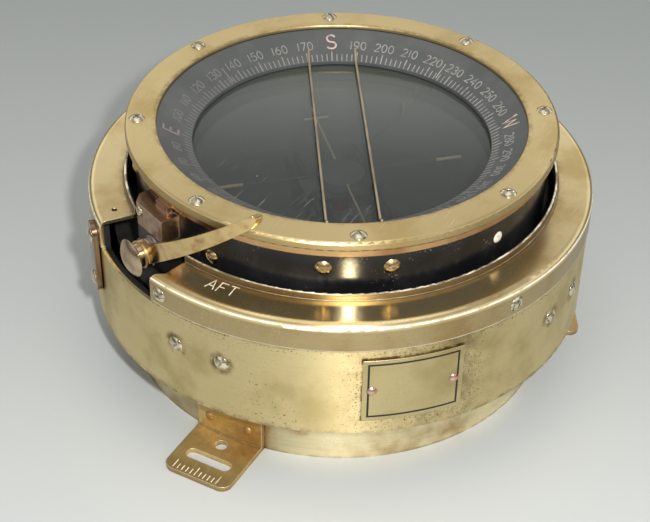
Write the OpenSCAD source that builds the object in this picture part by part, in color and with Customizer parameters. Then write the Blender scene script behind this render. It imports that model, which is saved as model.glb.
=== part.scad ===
// Brass grid-ring compass: a liquid bowl hung on rubber in a round case,
// with a turning grid ring over the dial and a lever that clamps it.
// Millimetres, +Z up, origin at the centre of the base on the floor, aft is -Y.
// Radii grow outward from the dial and heights grow upward from the base,
// so each size moves what lies beyond it.

/* [Dial and grid ring] */
// Radius of the dial that shows inside the scale cone
dial_r = 55.7; // [50:0.1:65]
// Width of the sloping scale, measured in plan
scale_w = 12.8; // [10:0.1:16]
// Drop of the sloping scale from its top to its inner edge
scale_drop = 7.7; // [5:0.1:8]
// Upright thickness of the scale cone
scale_t = 1.5; // [1:0.1:2]
// Width of the scale flange clamped under the bezel
scale_flange_w = 4.6; // [4:0.1:5]
// Thickness of that flange
scale_flange_t = 2.3; // [1.8:0.1:2.6]
// Width of the flat bezel
bezel_w = 11.5; // [11:0.1:16]
// Thickness of the bezel
bezel_t = 4; // [3.6:0.1:6]
// Rounding of the bezel's outer edges
bezel_round = 1.1; // [0.4:0.1:1.6]
// Rounding of the bezel's edge at the scale
bezel_inner_round = 0.6; // [0.2:0.1:1]
// Set-back of the grid ring inside the bezel edge
lip_in = 1.6; // [1:0.1:2.5]
// Height of the grid ring under the bezel
lip_h = 2.9; // [2.5:0.1:5]
// Number of bezel screws
bezel_screw_n = 8; // [4:1:12]
// Set-in of the bezel screws from the bezel edge
bezel_screw_in = 4.5; // [4:0.1:5]
// Azimuth that the ring's north mark points to
ring_north_a = -57.7; // [-180:0.1:180]
// Distance of each grid wire from the north-south line
grid_wire_x = 9.4; // [5:0.1:20]
// Thickness of the grid wires
grid_wire_d = 0.9; // [0.6:0.1:1.4]
// Length of wire lying up the scale at each end, in plan
grid_wire_rise = 5; // [3:0.1:8]

/* [Bowl] */
// Set-back of the bowl band inside the grid ring
band_in = 1.4; // [1:0.1:2]
// Height of the band that shows above the cover
band_h = 13.1; // [11:0.1:20]
// Depth of the bowl from its shoulder to its underside
bowl_depth = 54.4; // [48:0.1:58]
// Set-back of the lower bowl below the carrier ring
bowl_step = 3.6; // [3:0.1:5]
// Height of that step above the underside of the bowl
bowl_step_h = 21; // [18:0.1:24]
// Wall of the lower bowl
bowl_t = 2.4; // [2:0.1:4]
// Thickness of the bowl floor
bowl_floor_t = 3; // [2.5:0.1:6]
// Width of the shoulder that the grid ring turns on
shoulder_w = 5.5; // [5:0.1:6]
// Height of the neck inside the grid ring
neck_h = 2.8; // [2.2:0.1:2.8]
// Wall of the neck
neck_t = 4.7; // [3:0.1:5]
// Depth of the glass face below the shoulder
glass_drop = 4.1; // [3.5:0.1:5]
// Thickness of the glass
glass_t = 4; // [3:0.1:6]
// Thickness of the gasket under the glass
gasket_t = 0.8; // [0.5:0.1:1.5]
// Width of the ledge that carries the glass
ledge_w = 3.8; // [3:0.1:5]
// Thickness of that ledge
ledge_t = 3.5; // [2.5:0.1:5]
// Height of the verge ring that holds the glass down
verge_h = 3; // [2:0.1:3.2]
// Thickness of the wire that keeps the ring on the neck
keeper_d = 1; // [0.8:0.1:1.2]
// Radius of the filler plug
filler_r = 2.2; // [1.6:0.1:3]
// Length of the filler plug
filler_l = 5; // [4:0.1:6]
// Azimuth of the filler plug
filler_a = -17; // [-30:1:0]
// Depth of the filler plug below the shoulder
filler_drop = 7.8; // [6:0.1:9]
// Height of the plug's head
filler_head_h = 0.8; // [0.5:0.1:1.2]
// Radius of the drilling that leads down from the plug
way_r = 1; // [0.6:0.1:1.5]
// Drop of the lubber wire below the glass ledge
lubber_drop = 6; // [4:0.5:8]
// Set-in of the lubber mark from the edge of the dial
lubber_in = 2; // [1:0.1:4]
// Depth of the band screws below the shoulder
band_screw_drop = 5.6; // [5:0.1:7]
// Half the angle between the two screws of a pair
band_screw_half_a = 8.65; // [6:0.05:12]
// Azimuth of the first pair of band screws
band_screw_a = -57.7; // [-75:0.1:-45]
// Azimuth of the single screw beside the clamp
lone_screw_a = -97.3; // [-100:0.1:-90]
// Depth of that screw below the shoulder
lone_screw_drop = 12.5; // [8:0.1:13]

/* [Liquid expansion] */
// Radius of the opening in the bowl floor
well_r = 32; // [24:1:40]
// Width of the clamped rim round it
well_rim_w = 8; // [6:0.5:12]
// Thickness of the corrugated diaphragm
diaphragm_t = 0.5; // [0.4:0.1:1]
// Height of its corrugations
corrugation_h = 1.2; // [0.6:0.1:2]
// Number of corrugations
corrugation_n = 5; // [3:1:8]
// Thickness of the cover under it
well_cover_t = 1.6; // [1.2:0.1:2.5]
// Depth of the cover
well_cover_h = 6; // [5:0.1:8]
// Radius of the vent in that cover
vent_r = 2; // [1:0.1:4]
// Number of screws round the cover
well_screw_n = 8; // [6:1:12]

/* [Cover and case] */
// Gap between the bowl band and the opening in the cover
bowl_gap = 3.4; // [3:0.1:5]
// Width of the cover flat
cover_w = 14.6; // [12:0.1:24]
// Height of the edge of the opening above the seam with the case
cover_h = 13.8; // [13.4:0.1:20]
// Thickness of the cover
cover_t = 1.6; // [1.2:0.1:2.5]
// Rounding of the cover shoulder
cover_round = 2.6; // [1:0.1:2.8]
// How far the edge of the opening is turned up above the flat
collar_h = 2.6; // [1:0.1:2.8]
// Thickness of that edge
collar_t = 1.2; // [0.8:0.1:2]
// How far the cover skirt stands proud of the case wall
skirt_proud = 0.4; // [0.2:0.1:1]
// Height of the case wall from its floor to the seam
case_h = 38.2; // [36:0.1:50]
// Thickness of the case wall
case_t = 1.8; // [1.4:0.1:2.5]
// Thickness of the case floor
case_floor_t = 2; // [1.5:0.1:4]
// Chamfer of the lower edge of the case
case_chamfer = 0.8; // [0.4:0.1:1.6]
// Thickness of the spigot inside the skirt
spigot_t = 2; // [1.6:0.1:2.5]
// Height of the spigot above the seam
spigot_h = 9; // [8:0.1:9.2]
// Depth of the spigot below the seam
spigot_root = 4.5; // [3:0.1:6]
// Azimuth of the far edge of the clamp notch
notch_far_a = -127.4; // [-128:0.1:-124.5]
// Azimuth of its near edge
notch_near_a = -103.2; // [-104:0.1:-100]
// Azimuth of the near edge where it comes out through the skirt
notch_skirt_a = -105.5; // [-106:0.1:-105]
// Width of the flat's corner that is cut away there
notch_corner = 4; // [3:0.1:5]
// Depth of the notch below the seam
notch_depth = 1.3; // [0.5:0.1:3]
// Radius of the drain hole in the cover flat
drain_r = 1; // [0.6:0.1:1.5]
// Azimuth of the drain hole
drain_a = -131; // [-136:0.1:-130]
// Height of the cover screws above the seam
cover_screw_h = 4.6; // [4:0.1:6]
// Azimuth of the first cover screw
cover_screw_a = -102.8; // [-103:0.1:-101]
// Angle from one cover screw to the next
cover_screw_step = 80.5; // [72:0.5:82]

/* [Base and feet] */
// Set-back of the base drum inside the case wall
base_in = 12.3; // [8:0.1:13]
// Height of the base drum
base_h = 23.3; // [20:0.1:40]
// Wall of the base drum
base_t = 2; // [1.6:0.1:4]
// Width of the flange at the top of the drum
flange_w = 10; // [8:0.1:12]
// Thickness of the base plate
plate_t = 2; // [1.6:0.1:4]
// Width of the lip that the base plate screws to
plate_lip_w = 5; // [4:0.1:8]
// Thickness of that lip
plate_lip_t = 2; // [1.5:0.1:3]
// Width of a foot
foot_w = 27; // [20:0.5:32]
// Thickness of a foot
foot_t = 2; // [1.5:0.1:3]
// Height of the foot's upright leg
foot_leg_h = 14; // [12:0.5:18]
// Reach of the aft foot beyond the drum
aft_reach = 25.7; // [24:0.1:32]
// Reach of the two forward feet beyond the drum
side_reach = 14.7; // [12:0.1:20]
// Rounding of the foot corners
foot_round = 4; // [2:0.5:5]
// Distance of the foot rivets below the top of the leg
foot_rivet_in = 5.5; // [4:0.1:7]
// Half the angle between the two rivets of a foot
foot_rivet_half_a = 5.5; // [4:0.1:7]
// Radius of the hole in each foot
foot_hole_r = 2.4; // [1.6:0.1:2.6]
// Distance of the foot holes from the drum
foot_hole_out = 7; // [6:0.1:8]
// Length of the slot in the aft foot
slot_l = 18.5; // [12:0.5:20]
// Width of the slot
slot_w = 4.8; // [4:0.1:6]
// Distance of the slot from the drum
slot_out = 15.6; // [14:0.1:18]

/* [Suspension] */
// Height of the rubber pads
pad_h = 8; // [6:0.5:10]
// Radius of the rubber pads
pad_r = 4.5; // [3:0.1:5]
// Thickness of the carrier ring
carrier_t = 2.6; // [2.2:0.1:4]
// Overhang of the carrier ring beyond the bowl band
carrier_out = 9.5; // [9.5:0.1:10.5]
// Thickness of the bracket shelf
shelf_t = 2; // [1.5:0.1:3]
// Thickness of the bracket back plate
bracket_t = 2; // [1.5:0.1:2.5]
// Height of the bracket back plate above the shelf
bracket_h = 9; // [7.5:0.1:11]
// Half angle of a bracket
bracket_half_a = 8.5; // [7.5:0.5:12]
// Azimuth of the first bracket
bracket_a = -93; // [-96:0.5:-90]
// Half the angle between the two screws of a bracket
bracket_screw_half_a = 5.8; // [4:0.1:6]
// Height of those screws above the shelf
bracket_screw_up = 3; // [2.5:0.1:4.5]

/* [Ring clamp] */
// Azimuth of the clamp
clamp_a = -113.5; // [-115:0.1:-113]
// Depth of the clamp spindle below the shoulder
clamp_drop = 17.4; // [16:0.1:18]
// Reach of the clamp block past the spindle on the lever's side
block_near_w = 6.5; // [6:0.1:8]
// Reach of the clamp block past the spindle on its other side
block_far_w = 13; // [12:0.1:14]
// Thickness of the clamp block at its middle
block_t = 7; // [6.5:0.1:7.5]
// Depth of the block top below the shoulder
block_drop = 2.4; // [2:0.1:4]
// Depth of the block below the spindle
block_below = 6.5; // [6:0.1:8]
// Chamfer of the block's far corner
block_chamfer = 3.5; // [1:0.1:4]
// Radius of the spindle
spindle_r = 3; // [2.5:0.1:3.2]
// Throw of the cam pin
cam_throw = 1.64; // [1.2:0.01:1.8]
// Radius of the cam pin
cam_pin_r = 1; // [0.8:0.1:1.1]
// Gap between the bowl band and the back of the shoe
shoe_clear = 0.5; // [0.3:0.05:0.8]
// Free length at each end of the slot for the cam pin
slot_room = 0.4; // [0.3:0.1:0.6]
// Width of the clamp shoe
shoe_w = 7; // [6.6:0.1:8.5]
// Thickness of the clamp shoe
shoe_t = 2.2; // [2:0.1:2.8]
// Length of the shoe below the spindle
shoe_below = 4.4; // [3.5:0.1:4.6]
// Wall of the spindle bush
bush_t = 1.2; // [0.8:0.1:1.3]
// Set-in of the block screws from its top and its underside
clamp_screw_in = 3; // [2.5:0.1:4]
// Thickness of the flange of the bush
bush_flange_t = 0.6; // [0.4:0.1:1]
// Width of that flange
bush_flange_w = 1; // [0.5:0.1:1.4]
// Width across the flats of the nut behind the lever
nut_across = 10; // [9:0.1:10.5]
// Thickness of the nut
nut_t = 2.3; // [1.8:0.1:3]
// Upright height of the lever strip at the hub
lever_h = 8.8; // [8:0.1:9.5]
// Upright height of the lever strip at the tip
lever_tip_h = 5.2; // [4:0.1:6]
// Thickness of the lever strip
lever_t = 1.8; // [1.2:0.1:2]
// Length of the lever strip along its curve
lever_l = 48; // [45:0.5:50]
// Radius that the strip is bent to in plan
lever_bend_r = 55; // [50:0.5:60]
// Gap between the strip and the bezel where it climbs over the edge
lever_gap = 0.7; // [0.5:0.1:1.5]
// Depth of the strip's root below the spindle
lever_root_drop = 0.4; // [0:0.1:1]
// Radius of the lever hub
hub_r = 5.2; // [4.8:0.1:5.5]
// How far the hub stands proud of the strip
hub_proud = 0.4; // [0.2:0.1:0.8]
// Thickness of the washer under the knob
washer_t = 1; // [0.6:0.1:1.5]
// Width of the washer round the spindle
washer_w = 1.5; // [1:0.1:2.5]
// Radius of the knob
knob_r = 7.1; // [6:0.1:7.5]
// Thickness of the knob
knob_t = 5; // [4:0.1:5.5]

/* [Magnet system] */
// Depth of the pointer wires below the shoulder
pointer_drop = 18.4; // [16:0.1:20]
// Azimuth that the north pointer rests at
magnet_north_a = 133; // [-180:1:180]
// Radius of the float
float_r = 9; // [7:0.1:10]
// Height of the float
float_h = 6; // [5:0.1:8]
// Height of the float's rounded cap
float_cap = 2; // [1:0.1:3]
// Reach of the pointer wires from the pivot
pointer_l = 48; // [44:0.5:52]
// Thickness of the pointer wires
pointer_d = 0.8; // [0.5:0.1:1.2]
// Distance of the cross bar from the pivot
cross_bar_out = 39.5; // [35:0.5:42]
// Length of the cross bar
cross_bar_l = 10; // [6:0.5:14]
// Thickness of the damping wires
damping_d = 0.4; // [0.3:0.1:0.8]
// Thickness of the bright tubes on the beam
tube_d = 1.2; // [1:0.1:2]
// Length of those tubes
tube_l = 10; // [6:0.5:14]
// Length of the bar magnets
magnet_l = 50; // [40:1:60]
// Radius of the bar magnets
magnet_r = 1.6; // [1.2:0.1:1.8]
// Distance of each bar magnet from the pivot line
magnet_x = 12; // [11:0.5:16]
// Height of the yoke that holds the magnets
yoke_h = 5; // [4.4:0.1:7]
// Width of the yoke
yoke_w = 8; // [6:0.5:12]
// Metal of the yoke beyond the magnets
yoke_end = 2; // [1:0.1:4]
// Length of the pivot pin below the float
pin_l = 10; // [9:0.5:12]
// Radius of the pivot pin
pin_r = 0.6; // [0.5:0.05:0.8]
// Radius of the pivot post
post_r = 4; // [3.5:0.1:6]
// Thickness of the bridge under the post
bridge_t = 4; // [3:0.1:5]
// Width of the bridge
bridge_w = 10; // [9:0.5:14]
// Radius of the jewel cup
jewel_r = 3; // [2.5:0.1:3.4]
// Height of the jewel cup
jewel_h = 4; // [3.4:0.1:5]

/* [Corrector] */
// Side of the square corrector box
corrector_side = 60; // [50:1:80]
// Height of the corrector box
corrector_h = 13; // [12:0.5:14]
// Radius of the corrector magnets
corrector_r = 2.2; // [1.5:0.1:2.4]
// Metal left above and below the corrector magnets
corrector_skin = 1; // [0.8:0.1:1.4]
// Distance of each magnet from the middle of the box
corrector_x = 15; // [10:0.5:20]

/* [Plates and screws] */
// Width of the nameplate round the wall
label_w = 36; // [20:0.5:40]
// Height of the nameplate
label_h = 27; // [15:0.5:30]
// Thickness of the nameplate
label_t = 0.8; // [0.5:0.1:1.2]
// Azimuth of the nameplate
label_a = -46.2; // [-52:0.1:-40]
// Height of the nameplate's middle above the underside of the case
label_z = 20.8; // [17:0.1:22]
// Set-in of the nameplate rivets from its ends, as an angle
label_rivet_in_a = 2; // [1.6:0.1:4]
// Azimuth of the side strap
strap_a = -132; // [-140:0.5:-131]
// Width of the side strap
strap_w = 9; // [8:0.1:12]
// Length of the side strap
strap_l = 30; // [28:0.5:36]
// Thickness of the side strap
strap_t = 1.9; // [1.2:0.1:3]
// Height of the strap's top above the seam
strap_top = 6.5; // [6:0.1:9]
// Set-in of the strap screws from the centres of its round ends
strap_screw_in = 1; // [0:0.1:2]
// Radius of a large screw head
head_r = 3; // [2.4:0.1:3.2]
// Height of a large screw head
head_h = 1.3; // [1:0.1:2]
// Radius of a large screw shank
shank_r = 1.5; // [1:0.1:1.7]
// Length of the screws in the metal they hold to
shank_l = 5; // [4:0.1:5.5]
// Width of a screw slot
screw_slot_w = 0.8; // [0.5:0.1:1.2]
// Radius of a small screw or rivet head
small_head_r = 1.9; // [1.5:0.1:2.2]
// Height of a small screw or rivet head
small_head_h = 1; // [0.7:0.1:1.2]
// Radius of a small shank
small_shank_r = 1; // [0.7:0.1:1.2]

/* [Clearances] */
// Gap under the turning grid ring
ring_gap = 0.3; // [0.2:0.05:0.6]
// Radial running fit of turning pieces
run_fit = 0.08; // [0.04:0.01:0.1]
// Gap round fixed pieces that are pushed together
seat_gap = 0.05; // [0.02:0.01:0.1]
// Gap between pieces that slide or pass each other
slide_gap = 0.1; // [0.08:0.01:0.2]

/* [Hidden] */
$fn = 96;
cut = 1;
far = 150;

// Radii, from the dial outward
aperture_r = dial_r + scale_w;
bezel_r = aperture_r + bezel_w;
ring_r = bezel_r - lip_in;
bowl_r = ring_r - band_in;
opening_r = bowl_r + bowl_gap;
cover_r = opening_r + cover_w;
case_r = cover_r - skirt_proud;
base_r = case_r - base_in;
flange_r = aperture_r + scale_flange_w;
bezel_screw_r = bezel_r - bezel_screw_in;
neck_r = bowl_r - shoulder_w;
pocket_r = neck_r - neck_t;
ledge_r = pocket_r - ledge_w;
low_r = bowl_r - bowl_step;
cavity_r = low_r - bowl_t;
well_rim_r = well_r + well_rim_w;
spigot_r = cover_r - cover_t - slide_gap;
spigot_in_r = spigot_r - spigot_t;
wall_in_r = case_r - case_t;
carrier_r = bowl_r + carrier_out;
base_in_r = base_r - base_t;
floor_hole_r = base_in_r - flange_w;

// Heights, from the base upward
seam_z = base_h + case_h;
cover_z = seam_z + cover_h;
flat_z = cover_z - collar_h;
shoulder_z = cover_z + band_h;
neck_z = shoulder_z + neck_h;
ring_z = shoulder_z + ring_gap;
bezel_z = ring_z + lip_h;
top_z = bezel_z + bezel_t;
flange_z = bezel_z + scale_flange_t;
scale_low_z = flange_z - scale_drop;
glass_z = shoulder_z - glass_drop;
gasket_z = glass_z - glass_t;
seat_z = gasket_z - gasket_t;
ledge_z = seat_z - ledge_t;
bowl_z = shoulder_z - bowl_depth;
bowl_floor_z = bowl_z + bowl_floor_t;
step_z = bowl_z + bowl_step_h;
carrier_z = step_z - carrier_t;
shelf_z = carrier_z - pad_h;
case_floor_z = base_h + case_floor_t;
notch_z = seam_z - notch_depth;
clamp_z = shoulder_z - clamp_drop;
block_top_z = shoulder_z - block_drop;
block_low_z = clamp_z - block_below;
pointer_z = shoulder_z - pointer_drop;
float_low_z = pointer_z + float_cap - float_h;
yoke_z = float_low_z - yoke_h;
pin_tip_z = float_low_z - pin_l;
jewel_low_z = pin_tip_z - seat_gap - jewel_h / 2;
bracket_top_z = shelf_z + bracket_h;
bracket_screw_z = shelf_z + bracket_screw_up;

// Stations along the clamp axis, from the bowl outward
shoe_back = bowl_r + shoe_clear;
shoe_front = shoe_back + shoe_t;
block_face = bowl_r + block_t;
nut_r = nut_across / 2 / cos(30);
nut_back = block_face + bush_flange_t + slide_gap;
hub_back = nut_back + nut_t + seat_gap;
strip_sag = nut_r * nut_r / (2 * (lever_bend_r - lever_t));
lever_back = hub_back + strip_sag;
lever_front = lever_back + lever_t;
washer_back = lever_front + hub_proud + seat_gap;
knob_back = washer_back + washer_t;
spindle_back = shoe_front + 2 * slide_gap;
spindle_end = knob_back + knob_t / 2;
bush_r = spindle_r + bush_t;
shoe_bottom_z = clamp_z - shoe_below;

// Climb of the lever strip, so that it clears the bezel where it crosses the bezel's edge
lever_axis = lever_front - lever_bend_r;
lever_inner_r = lever_bend_r - lever_t;
cross_r = bezel_r + lever_gap;
cross_a = acos((cross_r * cross_r - lever_axis * lever_axis - lever_inner_r * lever_inner_r)
    / (2 * lever_axis * lever_inner_r));
lever_climb = (top_z + lever_gap + strip_half(cross_a) + lever_root_drop - clamp_z) / strip_s(cross_a);

// Angles of the repeated fasteners
quarter = [0, 90, 180, 270];
band_screw_angles = [for (q = quarter, s = [-1, 1]) band_screw_a + q + s * band_screw_half_a];
bracket_angles = [for (q = quarter) bracket_a + q];
cover_screw_angles = [for (i = [0:3]) cover_screw_a + i * cover_screw_step];
foot_angles = [-90, 30, 150];
foot_rivet_z = foot_leg_h - foot_rivet_in;
label_mid_z = base_h + label_z;
label_rivet_half_a = label_w / (2 * case_r) * 180 / PI - label_rivet_in_a;
case_rivet_n = 8;
plate_screw_n = 6;
carrier_screw_n = 8;

// Turn of the screw slots, and its change from one screw of a ring to the next
clamp_slot_a = 50;
bezel_slot_a = 35;
lone_slot_a = 40;
filler_slot_a = 30;
band_slot_rate = 1.7;
bracket_slot_rate = 2.3;

// Colours
brass = "#c9ab63";
dark_brass = "#a98a4c";
black = "#1c1c1f";
dark = "#34363a";
steel = "#b9bcc0";
rubber = "#2b2a29";
pale = "#e6dcc4";

// Point at a radius and an azimuth in plan
function polar(r, a) = [r * cos(a), r * sin(a)];

// Places children at an azimuth, with X outward, Y along the rim and Z up
module at(a, r = 0, z = 0) {
    rotate([0, 0, a]) translate([r, 0, z]) children();
}

// Lays an upright child along X, so that its top points outward
module outward() {
    rotate([0, 90, 0]) children();
}

// Flat ring standing on z = 0
module tube(r_out, r_in, h) {
    difference() {
        cylinder(r = r_out, h = h);
        translate([0, 0, -cut]) cylinder(r = r_in, h = h + 2 * cut);
    }
}

// Wedge of the plan between two azimuths less than 180 degrees apart
module wedge(a0, a1, z0, z1) {
    reach = far / cos((a1 - a0) / 2);
    translate([0, 0, z0]) linear_extrude(z1 - z0) polygon([[0, 0], polar(reach, a0), polar(reach, a1)]);
}

// Round-headed screw or rivet with its head above z = 0 and its shank below
module fastener(r, h, shank, length, slotted = true, turn = 0) {
    ball = (r * r + h * h) / (2 * h);
    difference() {
        intersection() {
            cylinder(r = r, h = h);
            translate([0, 0, h - ball]) sphere(r = ball);
        }
        if (slotted) rotate([0, 0, turn])
            translate([-r - cut, -screw_slot_w / 2, h / 2]) cube([2 * (r + cut), screw_slot_w, h]);
    }
    translate([0, 0, -length]) cylinder(r = shank, h = length);
}

// Large slotted screw set in a round wall, pointing outward
module wall_screw(a, r, z, length, turn) {
    at(a, r, z) outward() fastener(head_r, head_h, shank_r, length, true, turn);
}

// Bore for the shank of such a screw, a little deeper than the shank
module wall_bore(a, r, z, length, shank = shank_r) {
    at(a, r - length - cut, z) outward() cylinder(r = shank + seat_gap, h = length + 2 * cut);
}

// Clamp notch in the cover: two radial edges, with the near corner cut off towards the skirt
module cover_notch() {
    inner = polar(cover_r - notch_corner, notch_near_a);
    outer = polar(cover_r, notch_skirt_a);
    outline = [[0, 0], polar(far, notch_far_a), 2 * outer - inner, inner];
    translate([0, 0, seam_z - cut]) linear_extrude(cover_h + 2 * cut) polygon(outline);
}

module base_ring() {
    color(brass) difference() {
        rotate_extrude() polygon([[base_in_r, 0], [base_r, 0], [base_r, base_h], [floor_hole_r, base_h],
            [floor_hole_r, base_h - base_t], [base_in_r, base_h - base_t],
            [base_in_r, plate_t + plate_lip_t], [base_in_r - plate_lip_w, plate_t + plate_lip_t],
            [base_in_r - plate_lip_w, plate_t], [base_in_r, plate_t]]);
        case_rivet_bores();
        plate_screw_bores();
        foot_rivet_bores();
    }
}

module plate_screw_places() {
    for (i = [0:plate_screw_n - 1]) at(i * 360 / plate_screw_n, base_in_r - plate_lip_w / 2) children();
}

module plate_screw_bores() {
    plate_screw_places() translate([0, 0, -cut]) cylinder(r = small_shank_r + seat_gap, h = base_h / 2);
}

// Tapered head of a flush screw, pointing up from its face at z = 0
module flush_head(r) {
    cylinder(r1 = r, r2 = small_shank_r, h = r - small_shank_r);
}

module base_plate() {
    color(brass) difference() {
        cylinder(r = base_in_r - seat_gap, h = plate_t);
        plate_screw_bores();
        plate_screw_places() flush_head(small_head_r + seat_gap);
    }
}

module base_screws() {
    color(dark_brass) plate_screw_places() {
        flush_head(small_head_r);
        cylinder(r = small_shank_r, h = plate_t + plate_lip_t);
    }
}

module case_wall() {
    color(brass) difference() {
        rotate_extrude() polygon([[floor_hole_r, base_h], [case_r - case_chamfer, base_h],
            [case_r, base_h + case_chamfer], [case_r, seam_z], [spigot_r, seam_z],
            [spigot_r, seam_z + spigot_h], [spigot_in_r, seam_z + spigot_h],
            [spigot_in_r, seam_z - spigot_root], [wall_in_r, seam_z - spigot_root - case_t],
            [wall_in_r, case_floor_z], [floor_hole_r, case_floor_z]]);
        wedge(notch_far_a, notch_skirt_a, notch_z, cover_z);
        case_rivet_bores();
        suspension_bores();
        cover_screw_bores();
        strap_bores();
        label_bores();
    }
}

module case_rivet_places() {
    for (i = [0:case_rivet_n - 1])
        at((i + 0.5) * 360 / case_rivet_n, (floor_hole_r + base_in_r) / 2, case_floor_z) children();
}

module case_rivet_bores() {
    case_rivet_places() translate([0, 0, -base_h / 2]) cylinder(r = shank_r + seat_gap, h = base_h);
}

module case_rivets() {
    color(dark_brass) case_rivet_places() fastener(head_r, head_h, shank_r, case_floor_t + base_t, false);
}

module case_cover() {
    color(brass) difference() {
        rotate_extrude() difference() {
            union() {
                translate([opening_r, seam_z]) square([cover_w - cover_round, flat_z - seam_z]);
                translate([opening_r, seam_z]) square([cover_w, flat_z - cover_round - seam_z]);
                translate([cover_r - cover_round, flat_z - cover_round]) circle(r = cover_round);
                translate([opening_r, seam_z]) square([collar_t, cover_h - collar_t / 2]);
                translate([opening_r + collar_t / 2, cover_z - collar_t / 2]) circle(d = collar_t);
            }
            translate([opening_r - cut, seam_z - cut])
                square([cover_w - cover_t + cut, flat_z - seam_z - cover_t + cut]);
        }
        cover_notch();
        cover_screw_bores();
        strap_bores();
        at(drain_a, opening_r + cover_w / 2, flat_z - cover_t - cut)
            cylinder(r = drain_r, h = cover_t + 2 * cut);
    }
}

module cover_screw_bores() {
    for (a = cover_screw_angles) wall_bore(a, cover_r, seam_z + cover_screw_h, shank_l);
}

module cover_screws() {
    color(dark_brass) for (a = cover_screw_angles) wall_screw(a, cover_r, seam_z + cover_screw_h, shank_l, a);
}

strap_high_z = seam_z + strap_top - strap_w / 2;
strap_low_z = seam_z + strap_top - strap_l + strap_w / 2;
strap_screw_z = [strap_high_z - strap_screw_in, strap_low_z + strap_screw_in];

module strap_bores() {
    for (z = strap_screw_z) wall_bore(strap_a, cover_r + strap_t, z, shank_l + strap_t);
}

module cover_strap() {
    color(brass) difference() {
        intersection() {
            tube(cover_r + strap_t, cover_r + seat_gap, far);
            at(strap_a, base_r) outward() linear_extrude(base_r / 2) {
                for (z = [strap_low_z, strap_high_z]) translate([-z, 0]) circle(d = strap_w);
                translate([-strap_high_z, -strap_w / 2]) square([strap_high_z - strap_low_z, strap_w]);
            }
        }
        strap_bores();
    }
}

module strap_screws() {
    color(dark_brass) for (z = strap_screw_z)
        wall_screw(strap_a, cover_r + strap_t, z, shank_l + strap_t - slide_gap, z);
}

// Foot bracket: a leg bent against the drum and a flat plate with rounded corners on the floor
module foot(a, reach, slotted) {
    leg_r = base_r + seat_gap;
    end = base_r + reach;
    color(brass) difference() {
        union() {
            at(a) linear_extrude(foot_t) {
                translate([base_r / 2, -foot_w / 2]) square([end - foot_round - base_r / 2, foot_w]);
                translate([base_r / 2, foot_round - foot_w / 2])
                    square([end - base_r / 2, foot_w - 2 * foot_round]);
                for (s = [-1, 1]) translate([end - foot_round, s * (foot_w / 2 - foot_round)])
                    circle(r = foot_round);
            }
            intersection() {
                tube(leg_r + foot_t, leg_r, foot_leg_h);
                at(a) translate([base_r / 2, -foot_w / 2, 0]) cube([base_r, foot_w, foot_leg_h]);
            }
        }
        translate([0, 0, -cut]) cylinder(r = leg_r, h = foot_leg_h + 2 * cut);
        at(a, base_r + foot_hole_out, -cut) cylinder(r = foot_hole_r, h = foot_t + 2 * cut);
        if (slotted) at(a, base_r + slot_out, -cut) linear_extrude(foot_t + 2 * cut) {
            for (s = [-1, 1]) translate([0, s * (slot_l - slot_w) / 2]) circle(d = slot_w);
            translate([-slot_w / 2, (slot_w - slot_l) / 2]) square([slot_w, slot_l - slot_w]);
        }
        foot_rivet_bores();
    }
}

module aft_foot() { foot(foot_angles[0], aft_reach, true); }

module starboard_foot() { foot(foot_angles[1], side_reach, false); }

module port_foot() { foot(foot_angles[2], side_reach, false); }

foot_rivet_r = base_r + seat_gap + foot_t;

module foot_rivet_places() {
    for (a = foot_angles, s = [-1, 1])
        at(a + s * foot_rivet_half_a, foot_rivet_r, foot_rivet_z) outward() children();
}

module foot_rivet_bores() {
    foot_rivet_places() translate([0, 0, -base_t - foot_t - cut])
        cylinder(r = small_shank_r + seat_gap, h = base_t + foot_t + 2 * cut);
}

module foot_rivets() {
    color(dark_brass) foot_rivet_places()
        fastener(small_head_r, small_head_h, small_shank_r, base_t + foot_t, false);
}

label_angles = [for (s = [-1, 1]) label_a + s * label_rivet_half_a];
label_r = case_r + seat_gap + label_t;

module label_bores() {
    for (a = label_angles) wall_bore(a, label_r, label_mid_z, case_t + label_t, small_shank_r);
}

module nameplate() {
    half_a = label_w / (2 * case_r) * 180 / PI;
    color(brass) difference() {
        intersection() {
            translate([0, 0, label_mid_z - label_h / 2]) tube(label_r, case_r + seat_gap, label_h);
            wedge(label_a - half_a, label_a + half_a, 0, cover_z);
        }
        label_bores();
    }
}

module nameplate_rivets() {
    color("#b98068") for (a = label_angles) at(a, label_r, label_mid_z) outward()
        fastener(small_head_r, small_head_h, small_shank_r, case_t + label_t, false);
}

// Azimuths of the two screws of every bracket
suspension_screw_angles = [for (a = bracket_angles, s = [-1, 1]) a + s * bracket_screw_half_a];

module suspension_bores() {
    for (a = suspension_screw_angles) wall_bore(a, case_r, bracket_screw_z, case_t + bracket_t);
}

module suspension_brackets() {
    shelf_r = bowl_r - seat_gap;
    back_r = wall_in_r - seat_gap;
    color(dark_brass) difference() {
        intersection() {
            union() {
                translate([0, 0, shelf_z - shelf_t]) tube(back_r, shelf_r, shelf_t);
                translate([0, 0, shelf_z - shelf_t]) tube(back_r, back_r - bracket_t, bracket_h + shelf_t);
            }
            union() for (a = bracket_angles) wedge(a - bracket_half_a, a + bracket_half_a, 0, cover_z);
        }
        suspension_bores();
    }
}

module suspension_screws() {
    color(dark_brass) for (a = suspension_screw_angles)
        wall_screw(a, case_r, bracket_screw_z, case_t + bracket_t, bracket_slot_rate * a);
}

module suspension_pads() {
    color(rubber) for (a = bracket_angles) at(a, (carrier_r + bowl_r) / 2, shelf_z)
        cylinder(r = pad_r, h = pad_h);
}

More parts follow.
